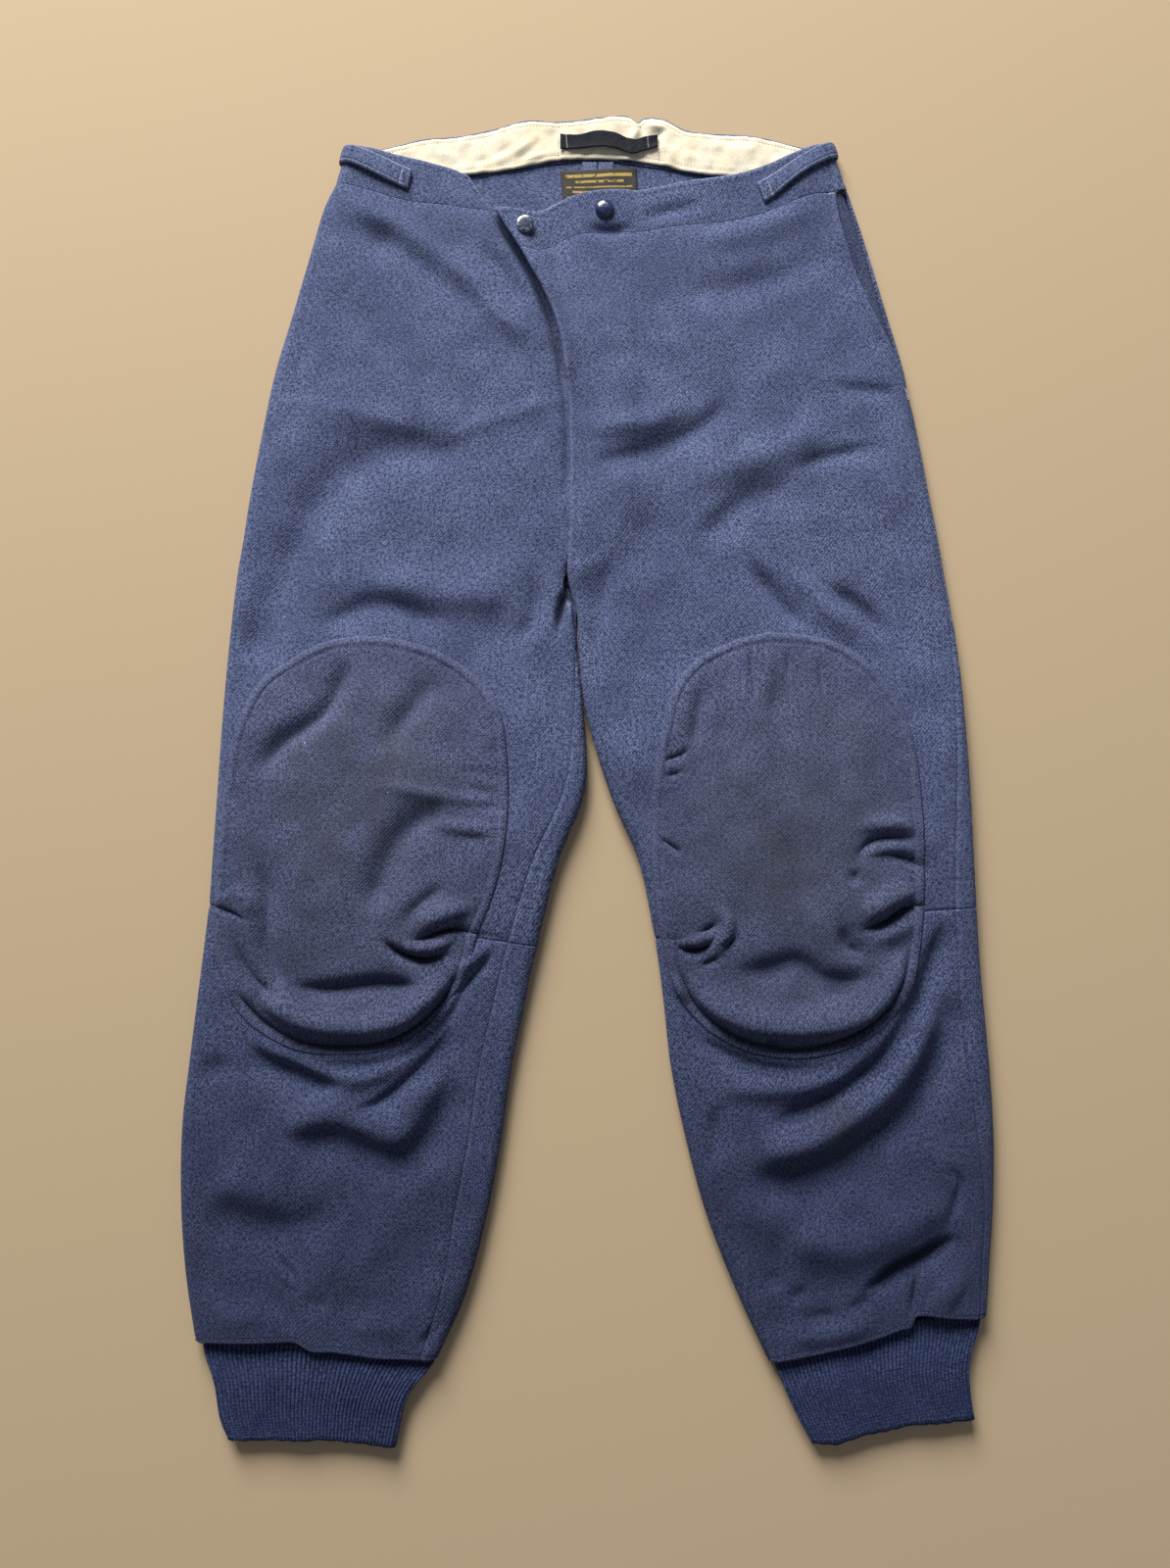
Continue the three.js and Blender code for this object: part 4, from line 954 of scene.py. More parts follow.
def wovenLabel():
    # Damask-woven satin label, black with plain gold bars; it holds no words.
    material, tree, shader = startMaterial("wovenSatinLabel", {
        "Roughness": 0.7, "Specular IOR Level": 0.3, "Sheen Weight": 0.1,
    })
    uv = addNode(tree, "ShaderNodeUVMap", {"uv_map": "UVMap"})
    parts = addNode(tree, "ShaderNodeSeparateXYZ", {0: uv})
    gold = 0.0
    soft = labelLook["barSoft"]
    for low, high, left, right in labelLook["bars"]:
        bar = 1.0
        for axis, edge, start in (("Y", low, 0), ("Y", high, 1), ("X", left, 0), ("X", right, 1)):
            side = addNode(tree, "ShaderNodeMapRange",
                           {**span(edge - soft, edge + soft, start, 1 - start),
                            "Value": parts.outputs[axis]})
            bar = addNode(tree, "ShaderNodeMath", {"operation": "MULTIPLY", 0: bar, 1: side})
        gold = addNode(tree, "ShaderNodeMath", {"operation": "MAXIMUM", 0: gold, 1: bar})
    # the gold is worn through in places
    wide, tall = labelLook["wornWide"]
    stretch = (perMetre(wide), perMetre(tall), 1.0)
    drawn = addNode(tree, "ShaderNodeMapping", {"Scale": stretch, "Vector": uv})
    breaks = addNode(tree, "ShaderNodeTexNoise", {"Scale": 1.0, "Detail": 1.0, "Vector": drawn})
    unworn = addNode(tree, "ShaderNodeMapRange", {**span(0.28, 0.42), "Value": breaks})
    gold = addNode(tree, "ShaderNodeMath", {"operation": "MULTIPLY", 0: gold, 1: unworn})
    # satin is woven about 0.2 mm fine; it is drawn 1.1 mm coarse so that it shows
    weave = addNode(tree, "ShaderNodeTexNoise",
                    {"Scale": perMetre(labelLook["threadWide"]), "Detail": 1.0, "Vector": uv})
    color = tinted(tree, toLinear(labelLook["ground"]), [
        (weave, (0.35, 0.65), labelLook["thread"]),
        (gold, (0, 1), labelLook["gold"]),
    ])
    height = addNode(tree, "ShaderNodeMath", {"operation": "ADD", 0: gold, 1: weave})
    bump = addNode(tree, "ShaderNodeBump", {"Strength": 0.4, "Distance": 0.0002, "Height": height})
    fillNode(tree, shader, {"Base Color": color, "Normal": bump})
    return material


def plainThread(name, darkHex, paleHex):
    # Spun cotton thread: dull, with a twist that shows as small light and dark turns.
    material, tree, shader = startMaterial(name, {"Roughness": 0.8, "Specular IOR Level": 0.3})
    place = addNode(tree, "ShaderNodeTexCoord", {}).outputs["Object"]
    # the turns are about 0.5 mm long; they are drawn 1.1 mm long so that they show
    twist = addNode(tree, "ShaderNodeTexNoise",
                    {"Scale": perMetre(1.111), "Detail": 1.0, "Vector": place})
    color = tinted(tree, toLinear(darkHex), [(twist, (0.35, 0.65), paleHex)])
    bump = addNode(tree, "ShaderNodeBump", {"Strength": 0.3, "Distance": 0.0001, "Height": twist})
    fillNode(tree, shader, {"Base Color": color, "Normal": bump})
    return material


snapLook = {
    "enamel": "#0d1a3a", "cloud": "#1d3260", "dust": "#8d93a3",
    "rimEnamel": "#16264c", "nickel": "#9aa2b0",
    "dustWide": 2, "cloudWide": 7.692, "scuffWide": 2.381,  # millimetres
}


def navyEnamel():
    # Baked enamel on brass: deep navy gloss with fine scratches and dull spots.
    material, tree, shader = startMaterial("bakedNavyEnamel", {
        "Specular IOR Level": 0.6, "Coat Weight": 0.7, "Coat Roughness": 0.08,
    })
    place = addNode(tree, "ShaderNodeTexCoord", {}).outputs["Object"]
    dust = addNode(tree, "ShaderNodeTexNoise",
                   {"Scale": perMetre(snapLook["dustWide"]), "Detail": 3.0, "Vector": place})
    cloudy = addNode(tree, "ShaderNodeTexNoise",
                     {"Scale": perMetre(snapLook["cloudWide"]), "Detail": 2.0, "Vector": place})
    color = tinted(tree, toLinear(snapLook["enamel"]), [
        (cloudy, (0.4, 0.65), snapLook["cloud"]),
        (dust, (0.66, 0.72, 0, 0.6), snapLook["dust"]),
    ])
    dull = addNode(tree, "ShaderNodeMapRange", {**span(0.4, 0.7, 0.18, 0.42), "Value": dust})
    fillNode(tree, shader, {"Base Color": color, "Roughness": dull})
    return material


def wornSnapMetal():
    # Enamelled snap with its rim rubbed down to bright nickel.
    material, tree, shader = startMaterial("wornNickelSnap", {"Specular IOR Level": 0.5})
    place = addNode(tree, "ShaderNodeTexCoord", {}).outputs["Object"]
    scuff = addNode(tree, "ShaderNodeTexNoise",
                    {"Scale": perMetre(snapLook["scuffWide"]), "Detail": 3.0, "Vector": place})
    rim = addNode(tree, "ShaderNodeAttribute", {"attribute_name": "rim"}).outputs["Fac"]
    rubbed = addNode(tree, "ShaderNodeMapRange", {**span(0.42, 0.52), "Value": scuff})
    bare = addNode(tree, "ShaderNodeMath", {"operation": "MULTIPLY", 0: rim, 1: rubbed})
    metal = addNode(tree, "ShaderNodeMapRange", {**span(0, 1, 0, 0.9), "Value": bare})
    dull = addNode(tree, "ShaderNodeMapRange", {**span(0.3, 0.7, 0.22, 0.45), "Value": scuff})
    color = tinted(tree, toLinear(snapLook["rimEnamel"]), [(bare, (0, 1), snapLook["nickel"])])
    fillNode(tree, shader, {"Base Color": color, "Metallic": metal, "Roughness": dull})
    return material


# the crease colour of each wool is painted shade
bodyWool = woolTwill("navyWoolTwill", {
    "dark": "#262f52", "mid": "#47537d", "pale": "#7b88af", "cloud": "#3f486a", "worn": "#8b95b6",
    "sheen": 0.16, "soil": "#50483f", "creaseShade": "#0d1120", "deep": "#abacb6",
})
patchWool = woolTwill("wornPatchTwill", {
    "dark": "#282f4e", "mid": "#475072", "pale": "#747fa4", "cloud": "#434762", "worn": "#8690b0",
    "sheen": 0.16, "soil": "#4c4947", "creaseShade": "#0e111c", "deep": "#b2b2ba",
})
knit = ribKnit()
cotton = facingCotton()
tape = loopTape()
satin = wovenLabel()
navyThread = plainThread("navySpunThread", "#3b4468", "#66719b")
paleThread = plainThread("bleachedThread", "#a9adba", "#dcdde2")
darkThread = plainThread("blackSpunThread", "#23242e", "#4a4c5a")
enamel = navyEnamel()
snapMetal = wornSnapMetal()
print("materials ready")


# Camera, floor and light

camera = {"place": (-0.00194, -0.10913, 0.928), "tilt": 5.0, "lens": 27.045, "sensor": 36.0}
light = {
    "key": {"place": (-1.25, 4.05, 2.3), "size": 2.4, "power": 455.0, "color": "#fffaf2"},
    "fill": {"place": (1.3, -0.9, 1.9), "size": 2.2, "power": 2.5, "color": "#eef2ff"},
    "world": ("#e8e9ee", 0.17),
    "floor": "#bda98c",
}


def addCamera():
    data = bpy.data.cameras.new("photoCamera")
    eye = bpy.data.objects.new("photoCamera", data)
    bpy.context.scene.collection.objects.link(eye)
    eye.location = camera["place"]
    eye.rotation_euler = (math.radians(camera["tilt"]), 0, 0)
    data.sensor_fit = "VERTICAL"
    data.sensor_height = camera["sensor"]
    data.lens = camera["lens"]
    data.clip_start = 0.01
    bpy.context.scene.camera = eye


def addLights():
    for name in ("key", "fill"):
        one = light[name]
        data = bpy.data.lights.new(name + "Light", "AREA")
        data.size = one["size"]
        data.energy = one["power"]
        data.color = toLinear(one["color"])[:3]
        lamp = bpy.data.objects.new(name + "Light", data)
        bpy.context.scene.collection.objects.link(lamp)
        lamp.location = one["place"]
        lamp.rotation_euler = (-Vector(one["place"])).to_track_quat("-Z", "Y").to_euler()
    world = bpy.data.worlds.new("paleStudio")
    bpy.context.scene.world = world
    world.use_nodes = True
    color, strength = light["world"]
    fillNode(world.node_tree, world.node_tree.nodes["Background"],
             {"Color": toLinear(color), "Strength": strength})


def addFloor():
    bpy.ops.object.select_all(action="DESELECT")
    bpy.ops.mesh.primitive_plane_add(size=8, location=(0, 0, -0.0002))
    floor = bpy.context.object
    floor.name = "studioFloor"
    look = {"Roughness": 0.85, "Base Color": toLinear(light["floor"])}
    floor.data.materials.append(startMaterial("paleFloorPaint", look)[0])


addCamera()
addLights()
addFloor()
bpy.context.scene.view_settings.view_transform = "Standard"
print("camera, floor and light ready")


# Legs

rightLeg = makeLeg("Right", 1, rightRows, rightSeams, rightFolds)
leftLeg = makeLeg("Left", -1, leftRows, leftSeams, leftFolds)
bodyStains = {
    "Right": [(-200, -100, 40, 0.15)],
    "Left": [(187, -290, 22, 0.7), (205, 170, 60, 0.12)],
}
topSheets = []  # what stitches and trims are laid on


flyStitch = [(37, 430), (37, 382), (42, 296), (39, 232), (37, 200), (32, 182), (24, 170), (12, 164),
             (2, 158), (-10, 151)]


def flyFacing(x, y, down):
    # the fly's own facing lies under the flap as far as the curved row of stitches
    edge = np.interp(y, [p[1] for p in flyStitch][::-1], [p[0] for p in flyStitch][::-1])
    inside = smoothStep(edge - x, -0.6, 1.2) * smoothStep(y, 150, 160)
    dip = bell(x, 1.3, edge) * smoothStep(y, 168, 180)
    return 0.5 * inside - 0.55 * dip


def makeLegSheets(oneLeg):
    name, lower = oneLeg["name"], oneLeg["name"].lower()
    right = name == "Right"
    made = {}
    reach = cloth["edgeReach"]
    parts = (("Upper", 0.0, leg["knee"] - 0.1), ("Lower", leg["knee"] + 0.1, leg["hem"]))
    for part, start, end in parts:
        step = cloth["gridStep"][part]
        downs = spreadDowns(start, end, step)
        outseam, _, inseam, _ = seamWays(oneLeg, downs)
        ways = spreadWays(outseam + 0.1, inseam - 0.1, step, reach, reach)
        last = (("folded", -99, 366), ("seam" if right else "none", 378, 999))
        first = "none" if right else (("folded", -99, 165), ("seam", 172, 999))
        edges = {"top": "band" if part == "Upper" else "seam",
                 "bottom": "seam" if part == "Upper" else "piped", "first": first, "last": last}
        extra = flyFacing if part == "Upper" and not right else None
        sheet = legSheet(f"front{name}{part}", oneLeg, downs, ways, edges, cloth["wool"],
                         extra=extra, stains=bodyStains[name])
        finishPiece(sheet, bodyWool, [f"front_{lower}_{part.lower()}"])
        made["front" + part] = sheet
        topSheets.append(sheet)

        downs = spreadDowns(start, end, cloth["hiddenStep"])
        _, backOut, inseam, whole = seamWays(oneLeg, downs)
        ways = spreadWays(inseam + 0.1, whole + backOut - 0.1, cloth["hiddenStep"], 34, 30)
        edges = {"top": "none", "bottom": "none" if part == "Upper" else "piped",
                 "first": (("felled", 378, 999),) if right else "none",
                 "last": "none" if right else (("felled", 172, 999),)}
        sheet = legSheet(f"back{name}{part}", oneLeg, downs, ways, edges, cloth["wool"])
        finishPiece(sheet, bodyWool, [f"back_{lower}_{part.lower()}"])
        made["back" + part] = sheet
        topSheets.append(sheet)
    return made


kneePatches = {
    "Right": {
        "middle": (-174, -74),
        "half": (112, 162),
        "outline": [(-222, 78), (-202, 86), (-171, 90), (-145, 86), (-119, 78), (-94, 63),
                    (-78, 46), (-67, 25), (-63, 0), (-61, -36), (-64, -77), (-73, -115),
                    (-85, -145), (-92, -172), (-109, -197), (-131, -219), (-156, -232),
                    (-191, -235), (-221, -232), (-248, -219), (-269, -200), (-281, -172),
                    (-286, -147), (-287, -126), (-286, -90), (-284, -60), (-281, -26), (-274, 18),
                    (-256, 54)],
        "stains": [(-152, 6, 26, 0.7), (-188, -30, 55, 0.5), (-206, -90, 45, 0.4),
                   (-150, -60, 60, 0.3)],
    },
    "Left": {
        "middle": (155, -74),
        "half": (105, 164),
        "outline": [(145, 93), (116, 86), (85, 70), (67, 46), (59, 15), (53, -16), (51, -51),
                    (50, -82), (53, -120), (58, -149), (64, -175), (76, -200), (96, -219),
                    (121, -232), (151, -238), (181, -236), (208, -226), (231, -209), (247, -187),
                    (255, -160), (260, -124), (261, -90), (260, -38), (256, 0), (246, 33),
                    (227, 62), (202, 82), (176, 90)],
        "stains": [(204, 18, 16, 0.8), (150, -92, 34, 0.9), (190, -60, 60, 0.35),
                   (120, -20, 50, 0.3)],
    },
}
patchSeam = {
    "rows": (1.5, 7.0),  # the two rows of stitching, in from the edge
    "rise": 1.7,  # middle of the patch over the middle of the panel
    "welt": 0.45,  # the turned-in edge under the rows makes a soft cord
    "dip": 0.8,
    "step": 1.8,
}


def outlineRadius(patch, turn):
    middle = np.array(patch["middle"], float)
    rim = smoothLine(np.array(patch["outline"] + patch["outline"][:1], float), 5) - middle
    turns = np.arctan2(rim[:, 1], rim[:, 0])
    order = np.argsort(turns)
    turns, far = turns[order], np.hypot(rim[:, 0], rim[:, 1])[order]
    keep = np.r_[True, np.diff(turns) > 1e-4]
    return np.interp(turn, turns[keep], far[keep], period=2 * math.pi)


def makeKneePatch(oneLeg):
    name = oneLeg["name"]
    patch = kneePatches[name]
    halfX, halfY = patch["half"]
    columns = int(2 * halfX / patchSeam["step"])
    rows = int(2 * halfY / patchSeam["step"])
    u, v = np.meshgrid(np.linspace(-1, 1, columns + 1), np.linspace(-1, 1, rows + 1))
    # the square grid is bent into a disc, then drawn out to the patch's own outline
    discX, discY = u * np.sqrt(1 - v * v / 2), v * np.sqrt(1 - u * u / 2)
    rho = np.hypot(discX, discY)
    ovalX, ovalY = discX * halfX, discY * halfY
    turn = np.arctan2(ovalY, ovalX)
    ovalFar = 1 / np.sqrt((np.cos(turn) / halfX) ** 2 + (np.sin(turn) / halfY) ** 2)
    grow = 1 + (outlineRadius(patch, turn) / ovalFar - 1) * rho ** 2
    x, y = patch["middle"][0] + ovalX * grow, patch["middle"][1] + ovalY * grow
    turns = np.linspace(-math.pi, math.pi, 181)
    radii = outlineRadius(patch, turns)
    rim = np.stack([patch["middle"][0] + radii * np.cos(turns),
                    patch["middle"][1] + radii * np.sin(turns)], 1)
    far, _, _, along, _ = nearestOn(rim, x, y)
    down, way = legWay(oneLeg, x, y)
    places = legPlace(oneLeg, down, way)
    normals = gridNormals(places)
    first, second = patchSeam["rows"]
    relief = patchSeam["rise"] - 1.5 * (1 - rolled(far / 3.4))
    relief = relief + patchSeam["welt"] * smoothStep(far, 0, 2.5) * (1 - smoothStep(far, 5.6, 8.2))
    relief = relief - patchSeam["dip"] * bell(far, 0.9, first) * 0.5
    relief = relief - patchSeam["dip"] * bell(far, 1.1, second)
    pucker = np.sin(along / 2.1) * np.sin(along / 5.3 + 1) + 0.6 * np.sin(along / 3.4 + 2)
    relief = relief + 0.22 * pucker * bell(far, 5, 8)
    places = places + normals * relief[..., None]
    wear = 0.1 * bell(far, 2.2, 3.6)
    stain = 0.22 * smoothStep(far, 4, 55) + 0.55 * stainsAt(patch["stains"], x, y)
    # painted shade in steep creases, weaker near the patch's edge
    creaseShade = foldsAt(oneLeg["folds"], x, y)[1] * (1 - 0.6 * bell(far, 5))
    marks = {"wear": wear, "creaseShade": creaseShade, "stain": np.clip(stain, 0, 1)}
    sheet = layGrid(f"kneePatch{name}", places, x, -y, marks, cloth["wool"], upward=False)
    finishPiece(sheet, patchWool, [f"knee_patch_{name.lower()}"])
    topSheets.append(sheet)
    return sheet, rim


def makeWaistband(oneLeg):
    name, lower = oneLeg["name"], oneLeg["name"].lower()
    right = name == "Right"
    downs = spreadWays([-leg["bandTall"]], [0.0], 1.8, 5, 5)[0]
    outseam, backOut, inseam, whole = seamWays(oneLeg, downs)
    ways = spreadWays(outseam + 0.1, inseam - 0.1, 2.5, cloth["edgeReach"], cloth["edgeReach"])
    lift = (cloth["wool"] - cloth["band"]) / 2
    edges = {"top": "folded", "bottom": "band", "first": "none" if right else "seam",
             "last": "folded"}
    extra = None if right else flyFacing
    front = legSheet(f"waistbandFront{name}", oneLeg, downs, ways, edges, cloth["band"], lift,
                     extra)
    finishPiece(front, bodyWool, [f"waistband_front_{lower}"])
    ways = spreadWays(inseam + 0.1, whole + backOut - 0.1, 3.0, 4, 26)
    edges = {"top": "none", "bottom": "none", "first": "none", "last": "none" if right else "seam"}
    back = legSheet(f"waistbandBack{name}", oneLeg, downs, ways, edges, cloth["band"], lift)
    finishPiece(back, bodyWool, [f"waistband_back_{lower}"])
    topSheets.extend([front, back])
    return front, back


def makePocketBearer(oneLeg):
    name = oneLeg["name"]
    downs = spreadWays([0.15], [leg["pocketEnd"]], 2.5, 4, 4)[0]
    outseam, backOut, _, _ = seamWays(oneLeg, downs)
    end = outseam + (5 if name == "Left" else -0.1)  # the left one runs on under the mouth
    start = np.minimum(backOut + 0.1, end - 0.4)
    ways = start[:, None] + (end - start)[:, None] * np.linspace(0, 1, 19)[None, :]
    lift = -3.0 if name == "Left" else 0.0
    # the left bearer, under the open pocket mouth, gets painted shade all over
    sheet = legSheet(f"pocketBearer{name}", oneLeg, downs, ways, {"first": "seam"}, cloth["wool"],
                     lift, shade=0.5 if name == "Left" else 0.0)
    finishPiece(sheet, bodyWool, [f"pocket_bearer_{name.lower()}"])
    topSheets.append(sheet)
    return sheet


waistTabs = {
    "Right": {"start": -1.0, "end": 58, "topAtSide": -35, "topAtEnd": -24.5},
    "Left": {"start": -1.0, "end": 66, "topAtSide": -35, "topAtEnd": -23.5},
    "tall": 15,
    "rise": 2.9,
}


def makeWaistTab(oneLeg):
    name = oneLeg["name"]
    tab = waistTabs[name]
    ways = np.linspace(tab["start"], tab["end"], int((tab["end"] - tab["start"]) / 0.9))
    parts = np.linspace(0, 1, 20)[:, None]
    share = np.clip(ways / tab["end"], 0, 1)[None, :]
    tops = tab["topAtSide"] + (tab["topAtEnd"] - tab["topAtSide"]) * share
    narrow = 1 if name == "Right" else 0.62 + 0.38 * share  # the left one is twisted at its root
    downs = tops + waistTabs["tall"] * parts * narrow
    wayGrid = np.broadcast_to(ways[None, :], downs.shape)
    places = legPlace(oneLeg, downs, wayGrid)
    normals = gridNormals(places) * (-1 if oneLeg["side"] > 0 else 1)
    fromEnd = tab["end"] - wayGrid
    edge = np.minimum(np.minimum(parts, 1 - parts) * waistTabs["tall"], fromEnd)
    relief = waistTabs["rise"] - 1.1 * (1 - rolled(edge / 1.8))
    relief = relief + 1.5 * np.sin(np.pi * np.clip(wayGrid / tab["end"], 0, 1)) * parts
    relief = relief - 0.5 * bell(edge, 0.8, 2.4)
    relief = relief - 0.6 * bell(fromEnd, 1.0, 7)
    places = places + normals * relief[..., None]
    places[..., 2] = np.maximum(places[..., 2], 1.5)
    wear = 0.75 * bell(edge, 1.3)
    marks = {"wear": wear, "stain": np.zeros_like(wear)}
    sheet = layGrid(f"waistTab{name}", places, wayGrid, downs, marks, cloth["tab"],
                    upward=oneLeg["side"] > 0)
    finishPiece(sheet, bodyWool, [f"waist_tab_{name.lower()}"])
    topSheets.append(sheet)
    return sheet


cuffs = {
    "Right": {
        "outer": [(-287, -441), (-289, -453), (-280, -477), (-275, -502), (-268, -518)],
        "inner": [(-113, -450), (-115, -463), (-127, -477), (-136, -492), (-143, -523)],
        "low": [(-268, 0), (-229, 1.2), (-201, 2.5), (-172, 2), (-150, -1), (-144, 0)],
        "level": (10.2, 10.2, 10.6, 10.2, 9.6),
    },
    "Left": {
        "outer": [(297, -424), (296, -436), (288, -459), (287, -478), (290, -504)],
        "inner": [(138, -453), (142, -467), (150, -486), (158, -503), (168, -521)],
        "low": [(172, 0), (187, -2.6), (210, 1.2), (229, 2), (249, 3), (274, 1), (290, 0)],
        "level": (10.2, 10.2, 10.6, 10.4, 9.6),
    },
}
ribs = {"tall": 78, "across": 49, "high": 1.5, "cells": 6, "roll": 4, "rowStep": 2.9}


def makeCuff(oneLeg):
    name = oneLeg["name"]
    cuff = cuffs[name]
    stations = np.linspace(0, 1, 5)
    rows = int(ribs["tall"] / ribs["rowStep"])
    parts = np.linspace(0, 1, rows + 1)[:, None]
    count = ribs["across"] * ribs["cells"]
    steps = np.arange(2 * count + 1)[None, :]
    top = steps <= count
    across = np.where(top, steps, 2 * count - steps) / count
    at = lambda values: curveThrough(stations, values, parts)  # along the cuff
    outerX, outerY = (at([p[i] for p in cuff["outer"]]) for i in (0, 1))
    innerX, innerY = (at([p[i] for p in cuff["inner"]]) for i in (0, 1))
    level = at(cuff["level"])
    x = outerX + (innerX - outerX) * across
    y = outerY + (innerY - outerY) * across
    lows = sorted(cuff["low"])
    y = y + np.interp(x, [p[0] for p in lows], [p[1] for p in lows]) * parts ** 5
    ragged = 0.3 * np.sin(x / 1.9 + 1.5 * np.sin(x / 7)) + 0.4 * np.sin(x / 6.3 + 1)
    y = y + ragged * smoothStep(parts, 0.86, 1)
    wide = np.hypot(outerX - innerX, outerY - innerY)
    edge = rolled(np.minimum(across, 1 - across) * wide / ribs["roll"])
    rest = cloth["knit"] / 2
    middle = (level + rest) / 2
    puff = 0.5 * ripple(x * 1.5, y * 1.2) + 0.7 * np.sin(np.pi * parts) * np.sin(np.pi * across)
    tuck = -4.5 * (1 - smoothStep(parts, 0.18, 0.5))  # it comes out from under the hem
    high = np.where(top, level + (puff + tuck) * smoothStep(edge, 0.6, 1), rest)
    places = np.stack([x, y, middle + (high - middle) * edge], -1)
    normals = gridNormals(places, closed=True)
    if oneLeg["side"] > 0:
        normals = -normals
    inRib = (steps % ribs["cells"]) / ribs["cells"]
    ridge = 1 - np.abs(2 * inRib - 1) ** 1.3
    ridge = ridge * smoothStep(edge, 0.35, 0.8) * np.where(top, 1.0, 0.35)
    swell = 0.25 * (1 - smoothStep(1 - parts, 0.0, 0.05))  # the bound-off edge
    places = places + normals * (ribs["high"] * (ridge - 0.5) + swell)[..., None]
    # painted shade for the hollows between the ribs, read by the knit's colour
    ribGapShade = np.clip(1.15 - ridge * 1.3, 0, 1) * 0.95 * np.ones_like(places[..., 0])
    ways = np.broadcast_to(1000 * steps / ribs["cells"], ribGapShade.shape)
    downs = np.broadcast_to(ribs["tall"] * parts, ribGapShade.shape)
    sheet = layGrid(f"cuff{name}", places, ways, downs, {"ribGapShade": ribGapShade}, cloth["knit"] * 0.6,
                    upward=oneLeg["side"] > 0, welded=True)
    finishPiece(sheet, knit, [f"cuff_{name.lower()}"])
    return sheet


# Inside of the back waist


facing = {
    "low": [(-200, 470), (-150, 474), (-99, 478), (-62, 483), (-21, 491), (29, 491), (63, 486),
            (81, 481), (114, 477), (150, 474), (200, 464)],
    "rim": 2.2,  # the twill shows above the cotton
    "middleHeight": 3.3,
    "stitchIn": (3.2, 4.5),  # from the top edge and from the lower edge
    "cells": (2.0, 1.6),
    "uprights": (-23.5, 59.5),  # seams beside the hanger loop
}


def backTop(x):
    straight = np.where(x < 9, 499 + (529 - 499) * (x + 197) / 206, 529 - 27 * (x - 9) / 191)
    return straight + waveAt("backWaist", x)


def facingCreases(x, y):
    height = 0.5 * ripple(x * 2.3, y * 2.3) + 0.3 * ripple(x * 6, y * 4.5)
    creases = [([(-75, 490), (-55, 500), (-40, 515)], (3, 4), 0.8),
               ([(-95, 486), (-70, 498), (-60, 512)], (4, 3), -0.6),
               ([(-60, 487), (-40, 494), (-28, 497)], (2.4, 3), 0.6),
               ([(38, 528), (41, 516), (36, 505)], (2.2, 2.6), 1.8),
               ([(44, 524), (48, 512), (58, 512), (64, 516)], (2.6, 2), -1.2),
               ([(48, 522), (58, 519), (66, 520)], (2.4, 2.4), 1.3),
               ([(62, 506), (70, 496), (76, 486)], (2.4, 3), 0.7),
               ([(84, 500), (86, 488)], (3, 3), 0.6),
               ([(100, 506), (125, 500), (150, 498)], (4, 5), 0.5),
               ([(-130, 500), (-110, 494)], (3, 4), 0.4)]
    return height + foldHeights(creases, x, y)


def makeFacing():
    xs = np.arange(-184, 187.1, facing["cells"][0])
    lowX, lowY = zip(*facing["low"])
    low = curveThrough(lowX, lowY, xs)
    top = backTop(xs) - facing["rim"]
    parts = np.linspace(1, 0, int(38 / facing["cells"][1]) + 1)[:, None]
    x = np.broadcast_to(xs[None, :], (len(parts), len(xs)))
    y = low[None, :] + (top - low)[None, :] * parts
    tall = (top - low)[None, :]
    fromTop, fromLow = (1 - parts) * tall, parts * tall
    z = facing["middleHeight"] + 0.8 + facingCreases(x, y)
    z = z - 0.45 * bell(fromTop, 1.0, facing["stitchIn"][0])
    z = z - 0.45 * bell(fromLow, 1.0, facing["stitchIn"][1])
    z = z - 0.5 * (1 - rolled(np.minimum(fromTop, fromLow) / 1.4))
    for seamX in facing["uprights"]:
        z = z - 0.5 * bell(x, 1.0, seamX)
    z = np.maximum(z, facing["middleHeight"])
    places = np.stack([x, y, z], -1)
    sheet = layGrid("waistFacing", places, x, -y, None, cloth["cotton"], upward=True)
    finishPiece(sheet, cotton, ["waist_facing"])
    return sheet


hangerLoop = {
    "top": [(-22, 512), (-6, 511), (6, 513.5), (22, 512.5), (31, 509), (38, 506.5), (48, 509.5),
            (59, 511)],
    "low": [(-20, 499), (-6, 499), (6, 500), (22, 499), (31, 496.5), (38, 494), (48, 498),
            (58, 500.5)],
    "height": 6.2,
    "arch": 1.8,
    "tacks": (-17, 50),
}


def makeLoop():
    xs = np.arange(-22, 59.6, 1.2)
    top = curveThrough(*zip(*hangerLoop["top"]), xs)
    low = curveThrough(*zip(*hangerLoop["low"]), xs)
    parts = np.linspace(1, 0, 12)[:, None]
    x = np.broadcast_to(xs[None, :], (12, len(xs)))
    y = low[None, :] + (top - low)[None, :] * parts
    first, last = hangerLoop["tacks"]
    between = np.clip((x - first) / (last - first), 0, 1)
    arch = hangerLoop["arch"] * np.sin(np.pi * between) ** 2
    kink = 1.1 * bell(x, 3.5, 37) - 0.7 * bell(x, 2.5, 31)
    curl = 0.5 * (2 * parts - 1) ** 2
    z = hangerLoop["height"] + arch + kink + curl + 0.3 * ripple(x * 5, y * 5)
    for tack in hangerLoop["tacks"]:
        z = z - 0.6 * bell(x, 1.6, tack)
    sheet = layGrid("hangerLoop", np.stack([x, y, z], -1), x, -y, None, cloth["tape"], upward=True)
    finishPiece(sheet, tape, ["hanger_loop"])
    return sheet


label = {
    "corners": ((-22, 482), (41, 485), (42, 443), (-19, 443)),
    "size": (63, 40),
    "height": 2.7,
}


